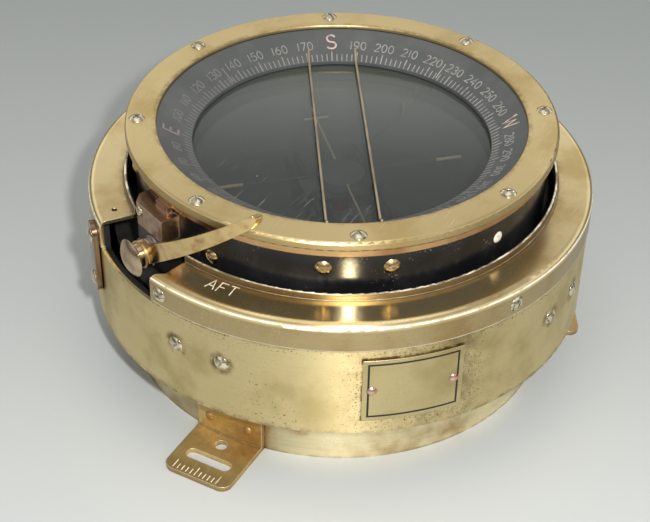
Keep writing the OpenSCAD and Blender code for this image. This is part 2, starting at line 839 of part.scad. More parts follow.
// Magnet channels: two across the box at one level and two along it at another
module corrector_rods(r, length) {
    inset = corrector_skin + corrector_r;
    for (s = [-1, 1]) {
        translate([-length / 2, s * corrector_x, plate_t + corrector_h - inset]) outward()
            cylinder(r = r, h = length);
        translate([s * corrector_x, length / 2, plate_t + inset]) rotate([90, 0, 0])
            cylinder(r = r, h = length);
    }
}

module corrector_box() {
    color(dark) difference() {
        translate([-corrector_side / 2, -corrector_side / 2, plate_t])
            cube([corrector_side, corrector_side, corrector_h]);
        corrector_rods(corrector_r + seat_gap, corrector_side + 2 * cut);
    }
}

module corrector_magnets() {
    color(steel) corrector_rods(corrector_r, corrector_side);
}

module bowl() {
    color(black) difference() {
        rotate_extrude() polygon([[well_r, bowl_z], [low_r, bowl_z], [low_r, step_z], [bowl_r, step_z],
            [bowl_r, shoulder_z], [neck_r, shoulder_z], [neck_r, neck_z], [pocket_r, neck_z],
            [pocket_r, seat_z], [ledge_r, seat_z], [ledge_r, ledge_z],
            [cavity_r, ledge_z - (cavity_r - ledge_r)], [cavity_r, bowl_floor_z], [well_r, bowl_floor_z]]);
        keeper(keeper_d / 2 + seat_gap);
        band_screw_bores();
        filler_way();
        clamp_screw_bores();
        carrier_screw_bores();
        well_screw_bores();
        bridge_screw_bores();
        at(lubber_a, lubber_r, lubber_z) cylinder(r = pin_r + seat_gap, h = ledge_z + ledge_t / 2 - lubber_z);
    }
}

module band_screw_bores() {
    for (a = band_screw_angles) wall_bore(a, bowl_r, shoulder_z - band_screw_drop, shank_l);
    wall_bore(lone_screw_a, bowl_r, shoulder_z - lone_screw_drop, shank_l);
}

module band_screws() {
    color(dark_brass) {
        for (a = band_screw_angles)
            wall_screw(a, bowl_r, shoulder_z - band_screw_drop, shank_l, band_slot_rate * a);
        wall_screw(lone_screw_a, bowl_r, shoulder_z - lone_screw_drop, shank_l, lone_slot_a);
    }
}

// Threaded hole for the plug and the drilling that leads down from it to the liquid
module filler_way() {
    depth = filler_l + 2 * way_r;
    wall_bore(filler_a, bowl_r, shoulder_z - filler_drop, depth, filler_r);
    at(filler_a, bowl_r - depth + way_r, bowl_floor_z)
        cylinder(r = way_r, h = shoulder_z - filler_drop - bowl_floor_z);
}

module filler_plug() {
    color(pale) at(filler_a, bowl_r, shoulder_z - filler_drop) outward()
        fastener(filler_r, filler_head_h, filler_r - seat_gap, filler_l, true, filler_slot_a);
}

carrier_bore_r = low_r + seat_gap;
carrier_screw_r = (low_r + bowl_r) / 2;

module carrier_ring() {
    color(dark_brass) difference() {
        translate([0, 0, carrier_z]) tube(carrier_r, carrier_bore_r, carrier_t);
        carrier_screw_bores();
    }
}

module carrier_screw_places() {
    for (i = [0:carrier_screw_n - 1])
        at(bracket_a + (i + 0.5) * 360 / carrier_screw_n, carrier_screw_r, carrier_z) children();
}

module carrier_screw_bores() {
    carrier_screw_places() translate([0, 0, -cut])
        cylinder(r = small_shank_r + seat_gap, h = carrier_t + shank_l + cut);
}

// Half-round screws with their heads under the carrier ring, kept clear of the lower bowl
module carrier_screws() {
    head = min(small_head_r, bowl_step / 2 - slide_gap);
    color(dark_brass) carrier_screw_places() mirror([0, 0, 1])
        fastener(head, small_head_h, small_shank_r, carrier_t + shank_l, false);
}

module bowl_glass() {
    color("#5c665f") translate([0, 0, gasket_z]) cylinder(r = pocket_r - slide_gap, h = glass_t);
}

module glass_gasket() {
    color(rubber) translate([0, 0, seat_z]) tube(pocket_r - slide_gap, ledge_r, gasket_t);
}

module verge_ring() {
    color(black) translate([0, 0, glass_z]) tube(pocket_r - seat_gap, ledge_r, verge_h);
}

// Height of the corrugated diaphragm at a radius, flat at its clamped rim
function wave(r) = r > well_r ? 0 : corrugation_h * sin(r / well_r * corrugation_n * 180);

module diaphragm() {
    steps = 8 * corrugation_n;
    radii = [for (i = [0:steps]) well_r * i / steps];
    color(steel) translate([0, 0, bowl_z - diaphragm_t]) difference() {
        rotate_extrude() polygon(concat(
            [for (r = radii) [r, wave(r)]], [[well_rim_r, 0], [well_rim_r, diaphragm_t]],
            [for (i = [steps:-1:0]) [radii[i], wave(radii[i]) + diaphragm_t]]));
        translate([0, 0, -bowl_z + diaphragm_t]) well_screw_bores();
    }
}

well_flange_z = bowl_z - diaphragm_t - well_cover_t;

module diaphragm_cover() {
    low_z = well_flange_z - well_cover_h;
    color(dark) difference() {
        rotate_extrude() polygon([[vent_r, low_z], [well_r, low_z], [well_r, well_flange_z],
            [well_rim_r, well_flange_z], [well_rim_r, well_flange_z + well_cover_t],
            [well_r - well_cover_t, well_flange_z + well_cover_t],
            [well_r - well_cover_t, low_z + well_cover_t], [vent_r, low_z + well_cover_t]]);
        well_screw_bores();
    }
}

module well_screw_places() {
    for (i = [0:well_screw_n - 1])
        at((i + 0.5) * 360 / well_screw_n, well_r + well_rim_w / 2, well_flange_z) children();
}

module well_screw_bores() {
    well_screw_places() translate([0, 0, -cut])
        cylinder(r = small_shank_r + seat_gap, h = well_cover_t + diaphragm_t + bowl_floor_t / 2 + cut);
}

module diaphragm_screws() {
    color(dark_brass) well_screw_places() mirror([0, 0, 1])
        fastener(small_head_r, small_head_h, small_shank_r, well_cover_t + diaphragm_t + bowl_floor_t / 2);
}

bridge_screw_x = well_r + well_rim_w;

module bridge_screw_bores() {
    for (s = [-1, 1]) translate([s * bridge_screw_x, 0, bowl_floor_z - bowl_floor_t / 2])
        cylinder(r = small_shank_r + seat_gap, h = bridge_t + bowl_floor_t);
}

module pivot_bridge() {
    reach = bridge_screw_x + bridge_w / 2;
    color(dark) difference() {
        translate([-reach, -bridge_w / 2, bowl_floor_z]) cube([2 * reach, bridge_w, bridge_t]);
        bridge_screw_bores();
    }
}

module bridge_screws() {
    color(dark_brass) for (s = [-1, 1]) translate([s * bridge_screw_x, 0, bowl_floor_z + bridge_t])
        fastener(small_head_r, small_head_h, small_shank_r, bridge_t + bowl_floor_t / 2);
}

module pivot_post() {
    low = bowl_floor_z + bridge_t;
    color(dark) translate([0, 0, low]) cylinder(r = post_r, h = jewel_low_z - low);
}

// Cup with a narrow well that the pivot pin stands in
module jewel_cup() {
    color("#8d5a68") difference() {
        translate([0, 0, jewel_low_z]) cylinder(r = jewel_r, h = jewel_h);
        translate([0, 0, pin_tip_z - seat_gap]) cylinder(r = pin_r + run_fit, h = jewel_h);
    }
}

lubber_a = 90;
lubber_r = ledge_r + ledge_w / 2;
lubber_z = ledge_z - lubber_drop;

// Bent wire from the glass ledge, with its mark standing upright at the edge of the dial
module lubber_line() {
    mark_r = dial_r - lubber_in;
    color(pale) {
        at(lubber_a, lubber_r, lubber_z) cylinder(r = pin_r, h = lubber_drop + ledge_t / 2);
        at(lubber_a, mark_r, lubber_z) outward() cylinder(r = pin_r, h = lubber_r + pin_r - mark_r);
        at(lubber_a, mark_r, lubber_z - lubber_drop / 2) cylinder(r = pin_r, h = lubber_drop);
    }
}

keeper_z = (ring_z + neck_z) / 2;

// Round wire or groove shared by the neck and the grid ring
module keeper(r) {
    translate([0, 0, keeper_z]) rotate_extrude() translate([neck_r + run_fit / 2, 0]) circle(r = r);
}

module ring_keeper() {
    color(steel) keeper(keeper_d / 2);
}

// Places of the block's two screws, on the side away from the lever
module clamp_screw_places() {
    y = block_chamfer + small_head_r - block_far_w;
    for (z = [block_low_z + clamp_screw_in, block_top_z - clamp_screw_in])
        at(clamp_a, block_face, z) translate([0, y, 0]) outward() children();
}

module clamp_screw_bores() {
    clamp_screw_places() translate([0, 0, -block_t - shank_l])
        cylinder(r = small_shank_r + seat_gap, h = block_t + shank_l + cut);
}

module clamp_block() {
    height = block_top_z - block_low_z;
    shoe_room = cam_throw;
    color("#8f6f58") difference() {
        at(clamp_a, 0, block_low_z) linear_extrude(height) polygon([[low_r, -block_far_w],
            [block_face - block_chamfer, -block_far_w], [block_face, block_chamfer - block_far_w],
            [block_face, block_near_w], [low_r, block_near_w]]);
        translate([0, 0, block_low_z - cut]) cylinder(r = bowl_r + seat_gap, h = height + 2 * cut);
        at(clamp_a, bowl_r - cut, shoe_bottom_z - shoe_room) translate([0, -shoe_w / 2 - slide_gap, 0])
            cube([shoe_front + slide_gap - bowl_r + cut, shoe_w + 2 * slide_gap, height]);
        at(clamp_a, bowl_r, clamp_z) outward() cylinder(r = bush_r + seat_gap, h = 2 * block_t);
        clamp_screw_bores();
    }
}

module clamp_block_screws() {
    color(dark_brass) clamp_screw_places()
        fastener(small_head_r, small_head_h, small_shank_r, block_t + shank_l - cut, true, clamp_slot_a);
}

module clamp_bush() {
    back = shoe_front + slide_gap;
    color(steel) at(clamp_a, back, clamp_z) outward() difference() {
        union() {
            cylinder(r = bush_r, h = block_face + bush_flange_t - back);
            translate([0, 0, block_face - back]) cylinder(r = bush_r + bush_flange_w, h = bush_flange_t);
        }
        translate([0, 0, -cut]) cylinder(r = spindle_r + run_fit, h = 2 * block_t);
    }
}

module bezel_screw_places() {
    for (i = [0:bezel_screw_n - 1])
        at(ring_north_a + i * 360 / bezel_screw_n, bezel_screw_r, top_z) children();
}

bezel_screw_l = bezel_t + lip_h * 0.7;

module bezel_screw_bores() {
    bezel_screw_places() translate([0, 0, -bezel_screw_l])
        cylinder(r = shank_r + seat_gap, h = bezel_screw_l + cut);
}

module grid_ring() {
    color(brass) difference() {
        translate([0, 0, ring_z]) tube(ring_r, neck_r + run_fit, lip_h);
        keeper(keeper_d / 2 + run_fit);
        bezel_screw_bores();
    }
}

// Height of the scale's face at a radius
function scale_z(r) = scale_low_z + (r - dial_r) / scale_w * scale_drop;

module scale_cone() {
    inner_r = aperture_r - scale_t;
    color(black) rotate_extrude() polygon([[dial_r, scale_z(dial_r) - scale_t], [dial_r, scale_z(dial_r)],
        [aperture_r, flange_z], [flange_r - seat_gap, flange_z], [flange_r - seat_gap, bezel_z],
        [inner_r, bezel_z], [inner_r, scale_z(inner_r) - scale_t]]);
}

module bezel_plate() {
    lip_t = bezel_t - scale_flange_t;
    color(brass) difference() {
        rotate_extrude() union() {
            translate([aperture_r, flange_z]) square([bezel_w - bezel_round, lip_t - bezel_inner_round]);
            translate([aperture_r + bezel_inner_round, flange_z])
                square([bezel_w - bezel_round - bezel_inner_round, lip_t]);
            translate([aperture_r + bezel_inner_round, top_z - bezel_inner_round])
                circle(r = bezel_inner_round);
            translate([flange_r, bezel_z]) square([bezel_r - flange_r - bezel_round, bezel_t]);
            translate([flange_r, bezel_z + bezel_round])
                square([bezel_r - flange_r, bezel_t - 2 * bezel_round]);
            for (z = [bezel_z + bezel_round, top_z - bezel_round])
                translate([bezel_r - bezel_round, z]) circle(r = bezel_round);
        }
        bezel_screw_bores();
    }
}

module bezel_screws() {
    color(dark_brass) bezel_screw_places()
        fastener(head_r, head_h, shank_r, bezel_screw_l, true, bezel_slot_a);
}

// Two straight wires across the dial, each with its ends turned up along the scale
module grid_wires() {
    half_l = sqrt(dial_r * dial_r - grid_wire_x * grid_wire_x);
    wire_z = scale_low_z + grid_wire_d / 2 + slide_gap;
    end_r = norm([half_l + grid_wire_rise, grid_wire_x]);
    end_z = scale_z(end_r) + grid_wire_d / 2 + 2 * slide_gap;
    slope = atan2(end_z - wire_z, grid_wire_rise);
    color(pale) for (s = [-1, 1]) at(ring_north_a) translate([0, s * grid_wire_x, wire_z]) {
        translate([-half_l, 0, 0]) outward() cylinder(d = grid_wire_d, h = 2 * half_l);
        for (turn = [0, 180]) rotate([0, 0, turn]) translate([half_l - grid_wire_d / 4, 0, 0])
            rotate([0, 90 - slope, 0]) cylinder(d = grid_wire_d, h = grid_wire_rise / cos(slope));
    }
}

module magnet_float() {
    ball = (float_r * float_r + float_cap * float_cap) / (2 * float_cap);
    color(dark) intersection() {
        translate([0, 0, float_low_z]) cylinder(r = float_r, h = float_h);
        translate([0, 0, float_low_z + float_h - ball]) sphere(r = ball);
    }
}

module magnet_yoke() {
    half = magnet_x + magnet_r + yoke_end;
    color(dark) difference() {
        at(magnet_north_a) translate([-yoke_w / 2, -half, yoke_z]) cube([yoke_w, 2 * half, yoke_h]);
        magnet_rods(magnet_r + seat_gap, magnet_l + 2 * cut);
        translate([0, 0, yoke_z - cut]) cylinder(r = 2 * pin_r + seat_gap, h = yoke_h + 2 * cut);
    }
}

module magnet_rods(r, length) {
    for (s = [-1, 1]) at(magnet_north_a) translate([-length / 2, s * magnet_x, yoke_z + yoke_h / 2]) outward()
        cylinder(r = r, h = length);
}

module magnet_bars() {
    color(steel) magnet_rods(magnet_r, magnet_l);
}

module pivot_pin() {
    thin = pin_l - yoke_h;
    color(steel) {
        translate([0, 0, pin_tip_z]) cylinder(r = pin_r, h = thin);
        translate([0, 0, pin_tip_z + thin]) cylinder(r = 2 * pin_r, h = yoke_h);
    }
}

// Thin rod from the float outward at an azimuth
module spoke(a, d, length) {
    at(a, float_r + seat_gap, pointer_z) outward() cylinder(d = d, h = length - float_r);
}

module pointer_wires() {
    color(pale) {
        for (turn = [0, 180]) spoke(magnet_north_a + turn, pointer_d, pointer_l);
        at(magnet_north_a, cross_bar_out, pointer_z) rotate([90, 0, 0])
            cylinder(d = pointer_d, h = cross_bar_l, center = true);
    }
}

module beam_wires() {
    color(dark) for (turn = [90, 270]) spoke(magnet_north_a + turn, damping_d, pointer_l);
}

module beam_tubes() {
    color(pale) for (turn = [90, 270])
        at(magnet_north_a + turn, pointer_l - tube_l, pointer_z) outward() difference() {
            cylinder(d = tube_d, h = tube_l);
            translate([0, 0, -cut]) cylinder(d = damping_d + 2 * seat_gap, h = tube_l + 2 * cut);
        }
}

module damping_wires() {
    color(dark) for (turn = quarter) spoke(magnet_north_a + turn + 45, damping_d, pointer_l);
}

module clamp_spindle() {
    color(steel) at(clamp_a, 0, clamp_z) {
        translate([spindle_back, 0, 0]) outward() cylinder(r = spindle_r, h = spindle_end - spindle_back);
        translate([shoe_back + slide_gap, -cam_throw, 0]) outward()
            cylinder(r = cam_pin_r, h = spindle_back - shoe_back);
    }
}

module spindle_bore() {
    at(clamp_a, block_face, clamp_z) outward()
        cylinder(r = spindle_r + seat_gap / 2, h = spindle_end - block_face);
}

// Distance along the strip at a turn about the axis that it is bent round
function strip_s(turn) = lever_bend_r * turn * PI / 180;

// Half of the strip's upright height there
function strip_half(turn) = (lever_h + (lever_tip_h - lever_h) * strip_s(turn) / lever_l) / 2;

// Point on the strip's edge in its side view: side is 1 for the upper edge and -1 for the lower
function strip_point(turn, side) = [lever_bend_r * sin(turn),
    lever_climb * strip_s(turn) - lever_root_drop + side * strip_half(turn)];

// Side outline of the strip, looking along the spindle, with a rounded tip
module strip_outline() {
    steps = 10;
    round_turn = (lever_l - lever_tip_h / 2) / lever_bend_r * 180 / PI;
    tip_turn = lever_l / lever_bend_r * 180 / PI;
    turns = [for (i = [0:steps]) round_turn * i / steps];
    polygon(concat([for (turn = turns) strip_point(turn, -1)],
        [for (t = [-75:15:75]) strip_point(round_turn + (tip_turn - round_turn) * cos(t), sin(t))],
        [for (i = [steps:-1:0]) strip_point(turns[i], 1)]));
}

// Straight strip bent round an upright cylinder, with a round hub on the spindle
module clamp_lever() {
    color(brass) difference() {
        union() {
            at(clamp_a, hub_back, clamp_z) outward()
                cylinder(r = hub_r, h = lever_front + hub_proud - hub_back);
            at(clamp_a, lever_axis) intersection() {
                tube(lever_bend_r, lever_inner_r, 2 * cover_z);
                translate([0, 0, clamp_z]) rotate([90, 0, 90])
                    linear_extrude(2 * lever_bend_r) strip_outline();
            }
        }
        spindle_bore();
    }
}

module clamp_nut() {
    color(steel) difference() {
        at(clamp_a, nut_back, clamp_z) outward() cylinder(r = nut_r, h = nut_t, $fn = 6);
        spindle_bore();
    }
}

// Lens-shaped knob on a plain washer
module clamp_knob() {
    ball = (knob_r * knob_r + knob_t * knob_t / 4) / knob_t;
    color(brass) difference() {
        at(clamp_a, washer_back, clamp_z) outward() {
            cylinder(r = spindle_r + washer_w, h = washer_t + knob_t / 4);
            translate([0, 0, washer_t + knob_t / 2]) intersection() {
                translate([0, 0, ball - knob_t / 2]) sphere(r = ball);
                translate([0, 0, knob_t / 2 - ball]) sphere(r = ball);
            }
        }
        spindle_bore();
    }
}

// Flat shoe in the block, slotted for the cam pin, with its top just under the grid ring
module clamp_shoe() {
    color(steel) at(clamp_a) difference() {
        translate([shoe_back, -shoe_w / 2, shoe_bottom_z]) cube([shoe_t, shoe_w, shoulder_z - shoe_bottom_z]);
        translate([shoe_back - cut, -cam_throw - cam_pin_r - slot_room, clamp_z - cam_pin_r - slide_gap])
            cube([shoe_t + 2 * cut, 2 * (cam_pin_r + slot_room), 2 * (cam_pin_r + slide_gap)]);
    }
}

base_ring();
base_plate();
base_screws();
case_wall();
case_rivets();
case_cover();
cover_screws();
cover_strap();
strap_screws();
aft_foot();
port_foot();
starboard_foot();
foot_rivets();
nameplate();
nameplate_rivets();
suspension_brackets();
suspension_screws();
suspension_pads();
corrector_box();
corrector_magnets();
bowl();
carrier_ring();
carrier_screws();
bowl_glass();
glass_gasket();
verge_ring();
diaphragm();
diaphragm_cover();
diaphragm_screws();
pivot_bridge();
bridge_screws();
pivot_post();
jewel_cup();
lubber_line();
filler_plug();
band_screws();
ring_keeper();
clamp_block();
clamp_block_screws();
clamp_bush();
grid_ring();
scale_cone();
bezel_plate();
bezel_screws();
grid_wires();
magnet_float();
magnet_yoke();
magnet_bars();
pivot_pin();
pointer_wires();
beam_wires();
beam_tubes();
damping_wires();
clamp_spindle();
clamp_lever();
clamp_nut();
clamp_knob();
clamp_shoe();
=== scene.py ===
"""Looks of the brass grid-ring compass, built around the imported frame.

Lengths are millimetres unless a comment says metres, in the frame of the part: +Z up,
aft is -Y, and the origin is in the middle of the base on the floor. Azimuths are degrees
anticlockwise from +X, seen from above.
"""

import math

import bmesh
import bpy
import numpy as np
from mathutils import Matrix, Vector


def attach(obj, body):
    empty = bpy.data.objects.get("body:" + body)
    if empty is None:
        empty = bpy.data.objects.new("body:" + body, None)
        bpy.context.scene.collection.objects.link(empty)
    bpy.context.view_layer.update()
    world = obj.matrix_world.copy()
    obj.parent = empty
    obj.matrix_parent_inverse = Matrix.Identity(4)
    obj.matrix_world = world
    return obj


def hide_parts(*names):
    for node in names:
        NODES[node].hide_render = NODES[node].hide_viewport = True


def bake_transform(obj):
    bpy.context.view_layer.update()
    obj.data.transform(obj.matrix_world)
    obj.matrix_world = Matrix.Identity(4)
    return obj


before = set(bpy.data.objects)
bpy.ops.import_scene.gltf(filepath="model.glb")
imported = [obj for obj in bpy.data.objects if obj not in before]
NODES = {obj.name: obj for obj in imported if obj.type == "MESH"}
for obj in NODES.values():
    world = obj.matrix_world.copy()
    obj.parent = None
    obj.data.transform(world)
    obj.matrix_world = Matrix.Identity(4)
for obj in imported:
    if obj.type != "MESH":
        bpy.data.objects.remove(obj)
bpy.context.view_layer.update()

MM = 0.001

# Photograph's width in pixels, its camera's sensor, and how far round from aft the camera stands
IMAGE_W = 650
SENSOR_W = 36
FRONT_TURN = math.radians(27.5)

# Sloping scale of the grid ring
DIAL_R = 55.7
SCALE_W = 12.8
SCALE_DROP = 7.7
SCALE_LOW_Z = 86.2
SCALE_SLOPE = math.atan2(SCALE_DROP, SCALE_W)
RING_NORTH_A = -57.7

# Cover, wall, nameplate, aft foot and rubber mounts
FLAT_Z = 72.7
OPENING_R = 80.4
BEZEL_IN_R = 68.5
SEAM_Z = 61.5
WALL_LOW_Z = 23.3
AFT_A = -89.8
AFT_R = 85.6
PLATE_R = 95.45
PLATE_A = -46.2
PLATE_Z = 44.1
PLATE_W = 36
PLATE_H = 27
FOOT_Z = 2
FOOT_END_Y = -108
MOUNT_R = 4.5
MOUNT_LOW_Z = 44.4
MOUNT_TOP_Z = 52.4
MOUNT_RING_R = 81.75
MOUNT_A = -93
MOUNT_SCREW_A = 5.8
MOUNT_SCREW_Z = 47.4

# Painted shade: black inner sides where the metal lies in shade, as the height below which they start and
# the radius within which all is black
WALL_SHADE = (74, 93.8)
COVER_SHADE = (71.6, 70)
BEZEL_SHADE = (95, 68)
BLOCK_SHADE_Z = 76.8

# Liquid space of the bowl, with the heights between which painted shade darkens its wall towards the top
BOWL_WALL_R = 75.5
SHADE_LOW_Z = 73
SHADE_TOP_Z = 77


def srgb(red, green, blue):
    """Linear colour of an 8-bit screen colour."""
    value = np.array([red, green, blue]) / 255
    linear = np.where(value <= 0.04045, value / 12.92, ((value + 0.055) / 1.055) ** 2.4)
    return (*linear.tolist(), 1.0)


PALE_EDGE = srgb(255, 246, 222)
BROWN_FILM_AND_SHADE = srgb(96, 66, 34)
# Black that stands for painted shade on inner sides and under the lever
SHADE_BLACK = (0.012, 0.011, 0.01, 1)
LIQUID_GREY = (0.13, 0.15, 0.14, 1)
LIQUID_PALE = (0.18, 0.2, 0.19, 1)
# Dark grey that stands for painted shade at the top of the bowl's wall
LIQUID_SHADE = (0.03, 0.033, 0.031, 1)


class Finish:
    """One material. Each call adds a shader node and returns the socket that it gives."""

    def __init__(self, name, **sockets):
        self.material = bpy.data.materials.new(name)
        self.material.use_nodes = True
        self.tree = self.material.node_tree
        self.tree.nodes.clear()
        output = self.tree.nodes.new("ShaderNodeOutputMaterial")
        self.shader = self.tree.nodes.new("ShaderNodeBsdfPrincipled")
        self.tree.links.new(self.shader.outputs[0], output.inputs[0])
        self.place = self.add("TexCoord", {}, "Object")
        self.x, self.y, self.z = self.add("SeparateXYZ", {0: self.place}).node.outputs
        self.set(sockets)

    def feed(self, socket, value):
        if isinstance(value, bpy.types.NodeSocket):
            self.tree.links.new(value, socket)
        else:
            socket.default_value = value

    def add(self, kind, sockets, out=0, **settings):
        node = self.tree.nodes.new("ShaderNode" + kind)
        for name, value in settings.items():
            setattr(node, name, value)
        for name, value in sockets.items():
            self.feed(node.inputs[name], value)
        return node.outputs[out]

    def set(self, sockets):
        for name, value in sockets.items():
            self.feed(self.shader.inputs[name.replace("_", " ")], value)

    def math(self, operation, a, b=0.0):
        return self.add("Math", {0: a, 1: b}, operation=operation)

    def times(self, a, b):
        return self.math("MULTIPLY", a, b)

    def plus(self, a, b):
        return self.math("ADD", a, b)

    def less(self, a, b):
        return self.math("SUBTRACT", a, b)

    def most(self, largest, *others):
        """Largest of the given values."""
        for other in others:
            largest = self.math("MAXIMUM", largest, other)
        return largest

    def length(self, a, b):
        """Length of the slope over two sides that are square to each other."""
        return self.math("SQRT", self.plus(self.times(a, a), self.times(b, b)))

    def step(self, value, low, high):
        """Rises smoothly from 0 at low to 1 at high."""
        limits = {"From Min": low, "From Max": high}
        return self.add("MapRange", {"Value": value, **limits}, interpolation_type="SMOOTHSTEP")

    def span(self, value, low, high):
        """Straight line from low at 0 to high at 1."""
        return self.add("MapRange", {"Value": value, "To Min": low, "To Max": high})

    def mix(self, share, a, b):
        return self.add("Mix", {0: share, 6: a, 7: b}, 2, data_type="RGBA")

    def film(self, place, none, full, strength=1.0):
        """Grows from 0 where a place is at one length to its strength at another, both in millimetres."""
        return self.times(self.step(place, none * MM, full * MM), strength)

    def noise(self, scale, detail=3.0, roughness=0.55):
        """Cloud of even noise; scale is in features per metre."""
        sockets = {"Vector": self.place, "Scale": scale, "Detail": detail, "Roughness": roughness}
        return self.add("TexNoise", sockets)

    def patches(self, strength):
        """Ragged patches with soft edges, as strong as the given socket or number."""
        return self.times(self.step(self.noise(210, 5, 0.7), 0.36, 0.66), strength)

    def normal(self):
        return self.add("NewGeometry", {}, "Normal")

    def level(self):
        """Upright part of the normal: 1 on a flat top, 0 on an upright side."""
        return self.add("SeparateXYZ", {0: self.normal()}, "Z")

    def radius(self):
        """Distance from the upright axis, in metres."""
        return self.length(self.x, self.y)

    def azimuth(self):
        """Angle round the upright axis from +X, in radians from -pi to pi."""
        return self.math("ARCTAN2", self.y, self.x)

    def along_view(self):
        """Distance behind the upright axis, in metres, as one looks at the compass from its aft
        starboard side."""
        return self.plus(self.times(self.x, -math.sin(FRONT_TURN)),
                         self.times(self.y, math.cos(FRONT_TURN)))

    def turning(self, across, along):
        """Tool marks of a lathe: noise that changes fast with radius and height, slowly round the rim."""
        stretch = (along, along, across)
        stretched = self.add("VectorMath", {0: self.place, 1: stretch}, operation="MULTIPLY")
        depth = self.times(self.radius(), across)
        sockets = {"Vector": stretched, "W": depth, "Scale": 1.0, "Detail": 4.0, "Roughness": 0.65}
        return self.add("TexNoise", sockets, noise_dimensions="4D")

    def scratches(self, turn, width=2400, length=70):
        """Thin straight scratches: noise drawn out along one way, with only its crests kept."""
        sockets = {"Vector": self.place, "Rotation": turn, "Scale": (width, length, width)}
        drawn = self.add("Mapping", sockets)
        streak = self.add("TexNoise", {"Vector": drawn, "Scale": 1.0, "Detail": 1.0})
        return self.step(streak, 0.68, 0.74)

    def rounded(self, radius):
        """Normal with the edges rounded off by a radius in millimetres, and how far it turns there."""
        soft = self.add("Bevel", {"Radius": radius * MM}, samples=6)
        match = self.add("VectorMath", {0: soft, 1: self.normal()}, 1, operation="DOT_PRODUCT")
        return soft, self.less(1.0, match)

    def corners(self, distance):
        """1 in tight corners and under heads, 0 in the open; distance is in millimetres."""
        open_share = self.add("AmbientOcclusion", {"Distance": distance * MM}, "AO", samples=8)
        return self.less(1.0, open_share)

    def bump(self, height, strength, normal):
        sockets = {"Strength": strength, "Distance": 0.2 * MM, "Height": height, "Normal": normal}
        return self.add("Bump", sockets)

    def spread_round(self, amount):
        """Spreads highlights across marks that run round the upright axis."""
        self.set({"Anisotropic": amount, "Anisotropic_Rotation": 0.25})
        self.set({"Tangent": self.add("Tangent", {}, direction_type="RADIAL", axis="Z")})

    def inside(self, below, within):
        """1 below a height on sides that face the upright axis or the floor, or lie within a radius: the
        inner sides that get painted shade.
        """
        outward = self.add("VectorMath", {0: self.place, 1: (1, 1, 0)}, operation="MULTIPLY")
        outward = self.add("VectorMath", {0: outward}, operation="NORMALIZE")
        facing = self.add("VectorMath", {0: self.normal(), 1: outward}, 1, operation="DOT_PRODUCT")
        turned = self.most(self.step(facing, -0.4, -0.7), self.step(self.level(), -0.6, -0.9),
                           self.film(self.radius(), within, within - 0.6))
        return self.times(turned, self.film(self.z, below, below - 1))

    def paint_on(self, *nodes):
        for node in nodes:
            slots = NODES[node].data.materials
            slots.clear()
            slots.append(self.material)


def brass(name, bright, dull, rough, brown=BROWN_FILM_AND_SHADE, marks=0.06, specks=0.3, edge=0.4, spread=0.0,
          black=None, stain_and_shade=None, rub_and_highlight=None, metal=1.0):
    """Turned brass: lathe marks, dull clouds, brown patina and painted shade in the corners, dark specks
    and bright rubbed edges. The marks spread highlights across themselves. Inner sides may be painted dull
    black as painted shade. The stain function says where a brown film gathers, with any painted shade or
    reflection that it holds, and the rub function where the metal is rubbed pale or carries a painted
    highlight."""
    f = Finish(name, Metallic=metal, Specular_IOR_Level=0.25)
    lines = f.turning(across=2600, along=30)
    cloud = f.noise(45, 5)
    soft, turn = f.rounded(edge)
    # Brown patina and painted shade: the metal darkens where it is tucked into corners and under heads
    tucked = f.step(f.corners(2.2), 0.15, 0.75)
    rubbed = f.times(f.step(turn, 0.015, 0.2), f.less(1.0, tucked))
    tone = f.mix(f.step(cloud, 0.42, 0.72), bright, dull)
    tone = f.mix(f.times(f.step(lines, 0.45, 0.8), 0.3), tone, dull)
    grime_and_shade = f.times(tucked, f.step(f.noise(160), 0.25, 0.6))
    tone = f.mix(grime_and_shade, tone, brown)
    field = f.step(f.noise(28, 2), 0.5, 0.7)
    dots = f.times(f.step(f.noise(1100, 1), 0.66, 0.74), f.times(field, specks))
    tone = f.mix(dots, tone, brown)
    if stain_and_shade:
        film = stain_and_shade(f)
        tone = f.mix(f.times(film, 0.85), tone, brown)
        grime_and_shade = f.most(grime_and_shade, film)
    scuffs = f.most(f.scratches((0.3, 0.2, 0.5)), f.scratches((-0.4, 0.7, 1.9)))
    scuffs = f.times(scuffs, f.step(f.noise(34, 2), 0.4, 0.65))
    tone = f.mix(f.times(scuffs, 0.5), tone, PALE_EDGE)
    tone = f.mix(f.times(rubbed, 0.7), tone, PALE_EDGE)
    dullness = f.plus(f.span(cloud, rough - 0.05, rough + 0.08), f.times(lines, 0.06))
    dullness = f.plus(dullness, f.times(f.plus(grime_and_shade, dots), 0.25))
    covers = []
    # Pale rub and painted highlight: the metal turns whitish and less metallic where it is rubbed and
    # where light catches
    if rub_and_highlight:
        pale = f.times(rub_and_highlight(f), f.span(f.step(f.noise(260, 4), 0.36, 0.52), 0.6, 1.0))
        tone = f.mix(pale, tone, PALE_EDGE)
        dullness = f.most(dullness, f.times(pale, 0.42))
        covers.append(f.times(pale, 0.75))
    # Painted shade: inner sides that lie in shade are painted dull black and are not metallic
    if black:
        paint = f.inside(*black)
        tone = f.mix(paint, tone, SHADE_BLACK)
        dullness = f.most(dullness, f.times(paint, 0.55))
        covers.append(paint)
    if covers:
        f.set({"Metallic": f.span(f.most(*covers), metal, 0.0)})
    f.set({"Base_Color": tone, "Roughness": dullness, "Normal": f.bump(lines, marks, soft)})
    if spread:
        f.spread_round(spread)
    return f


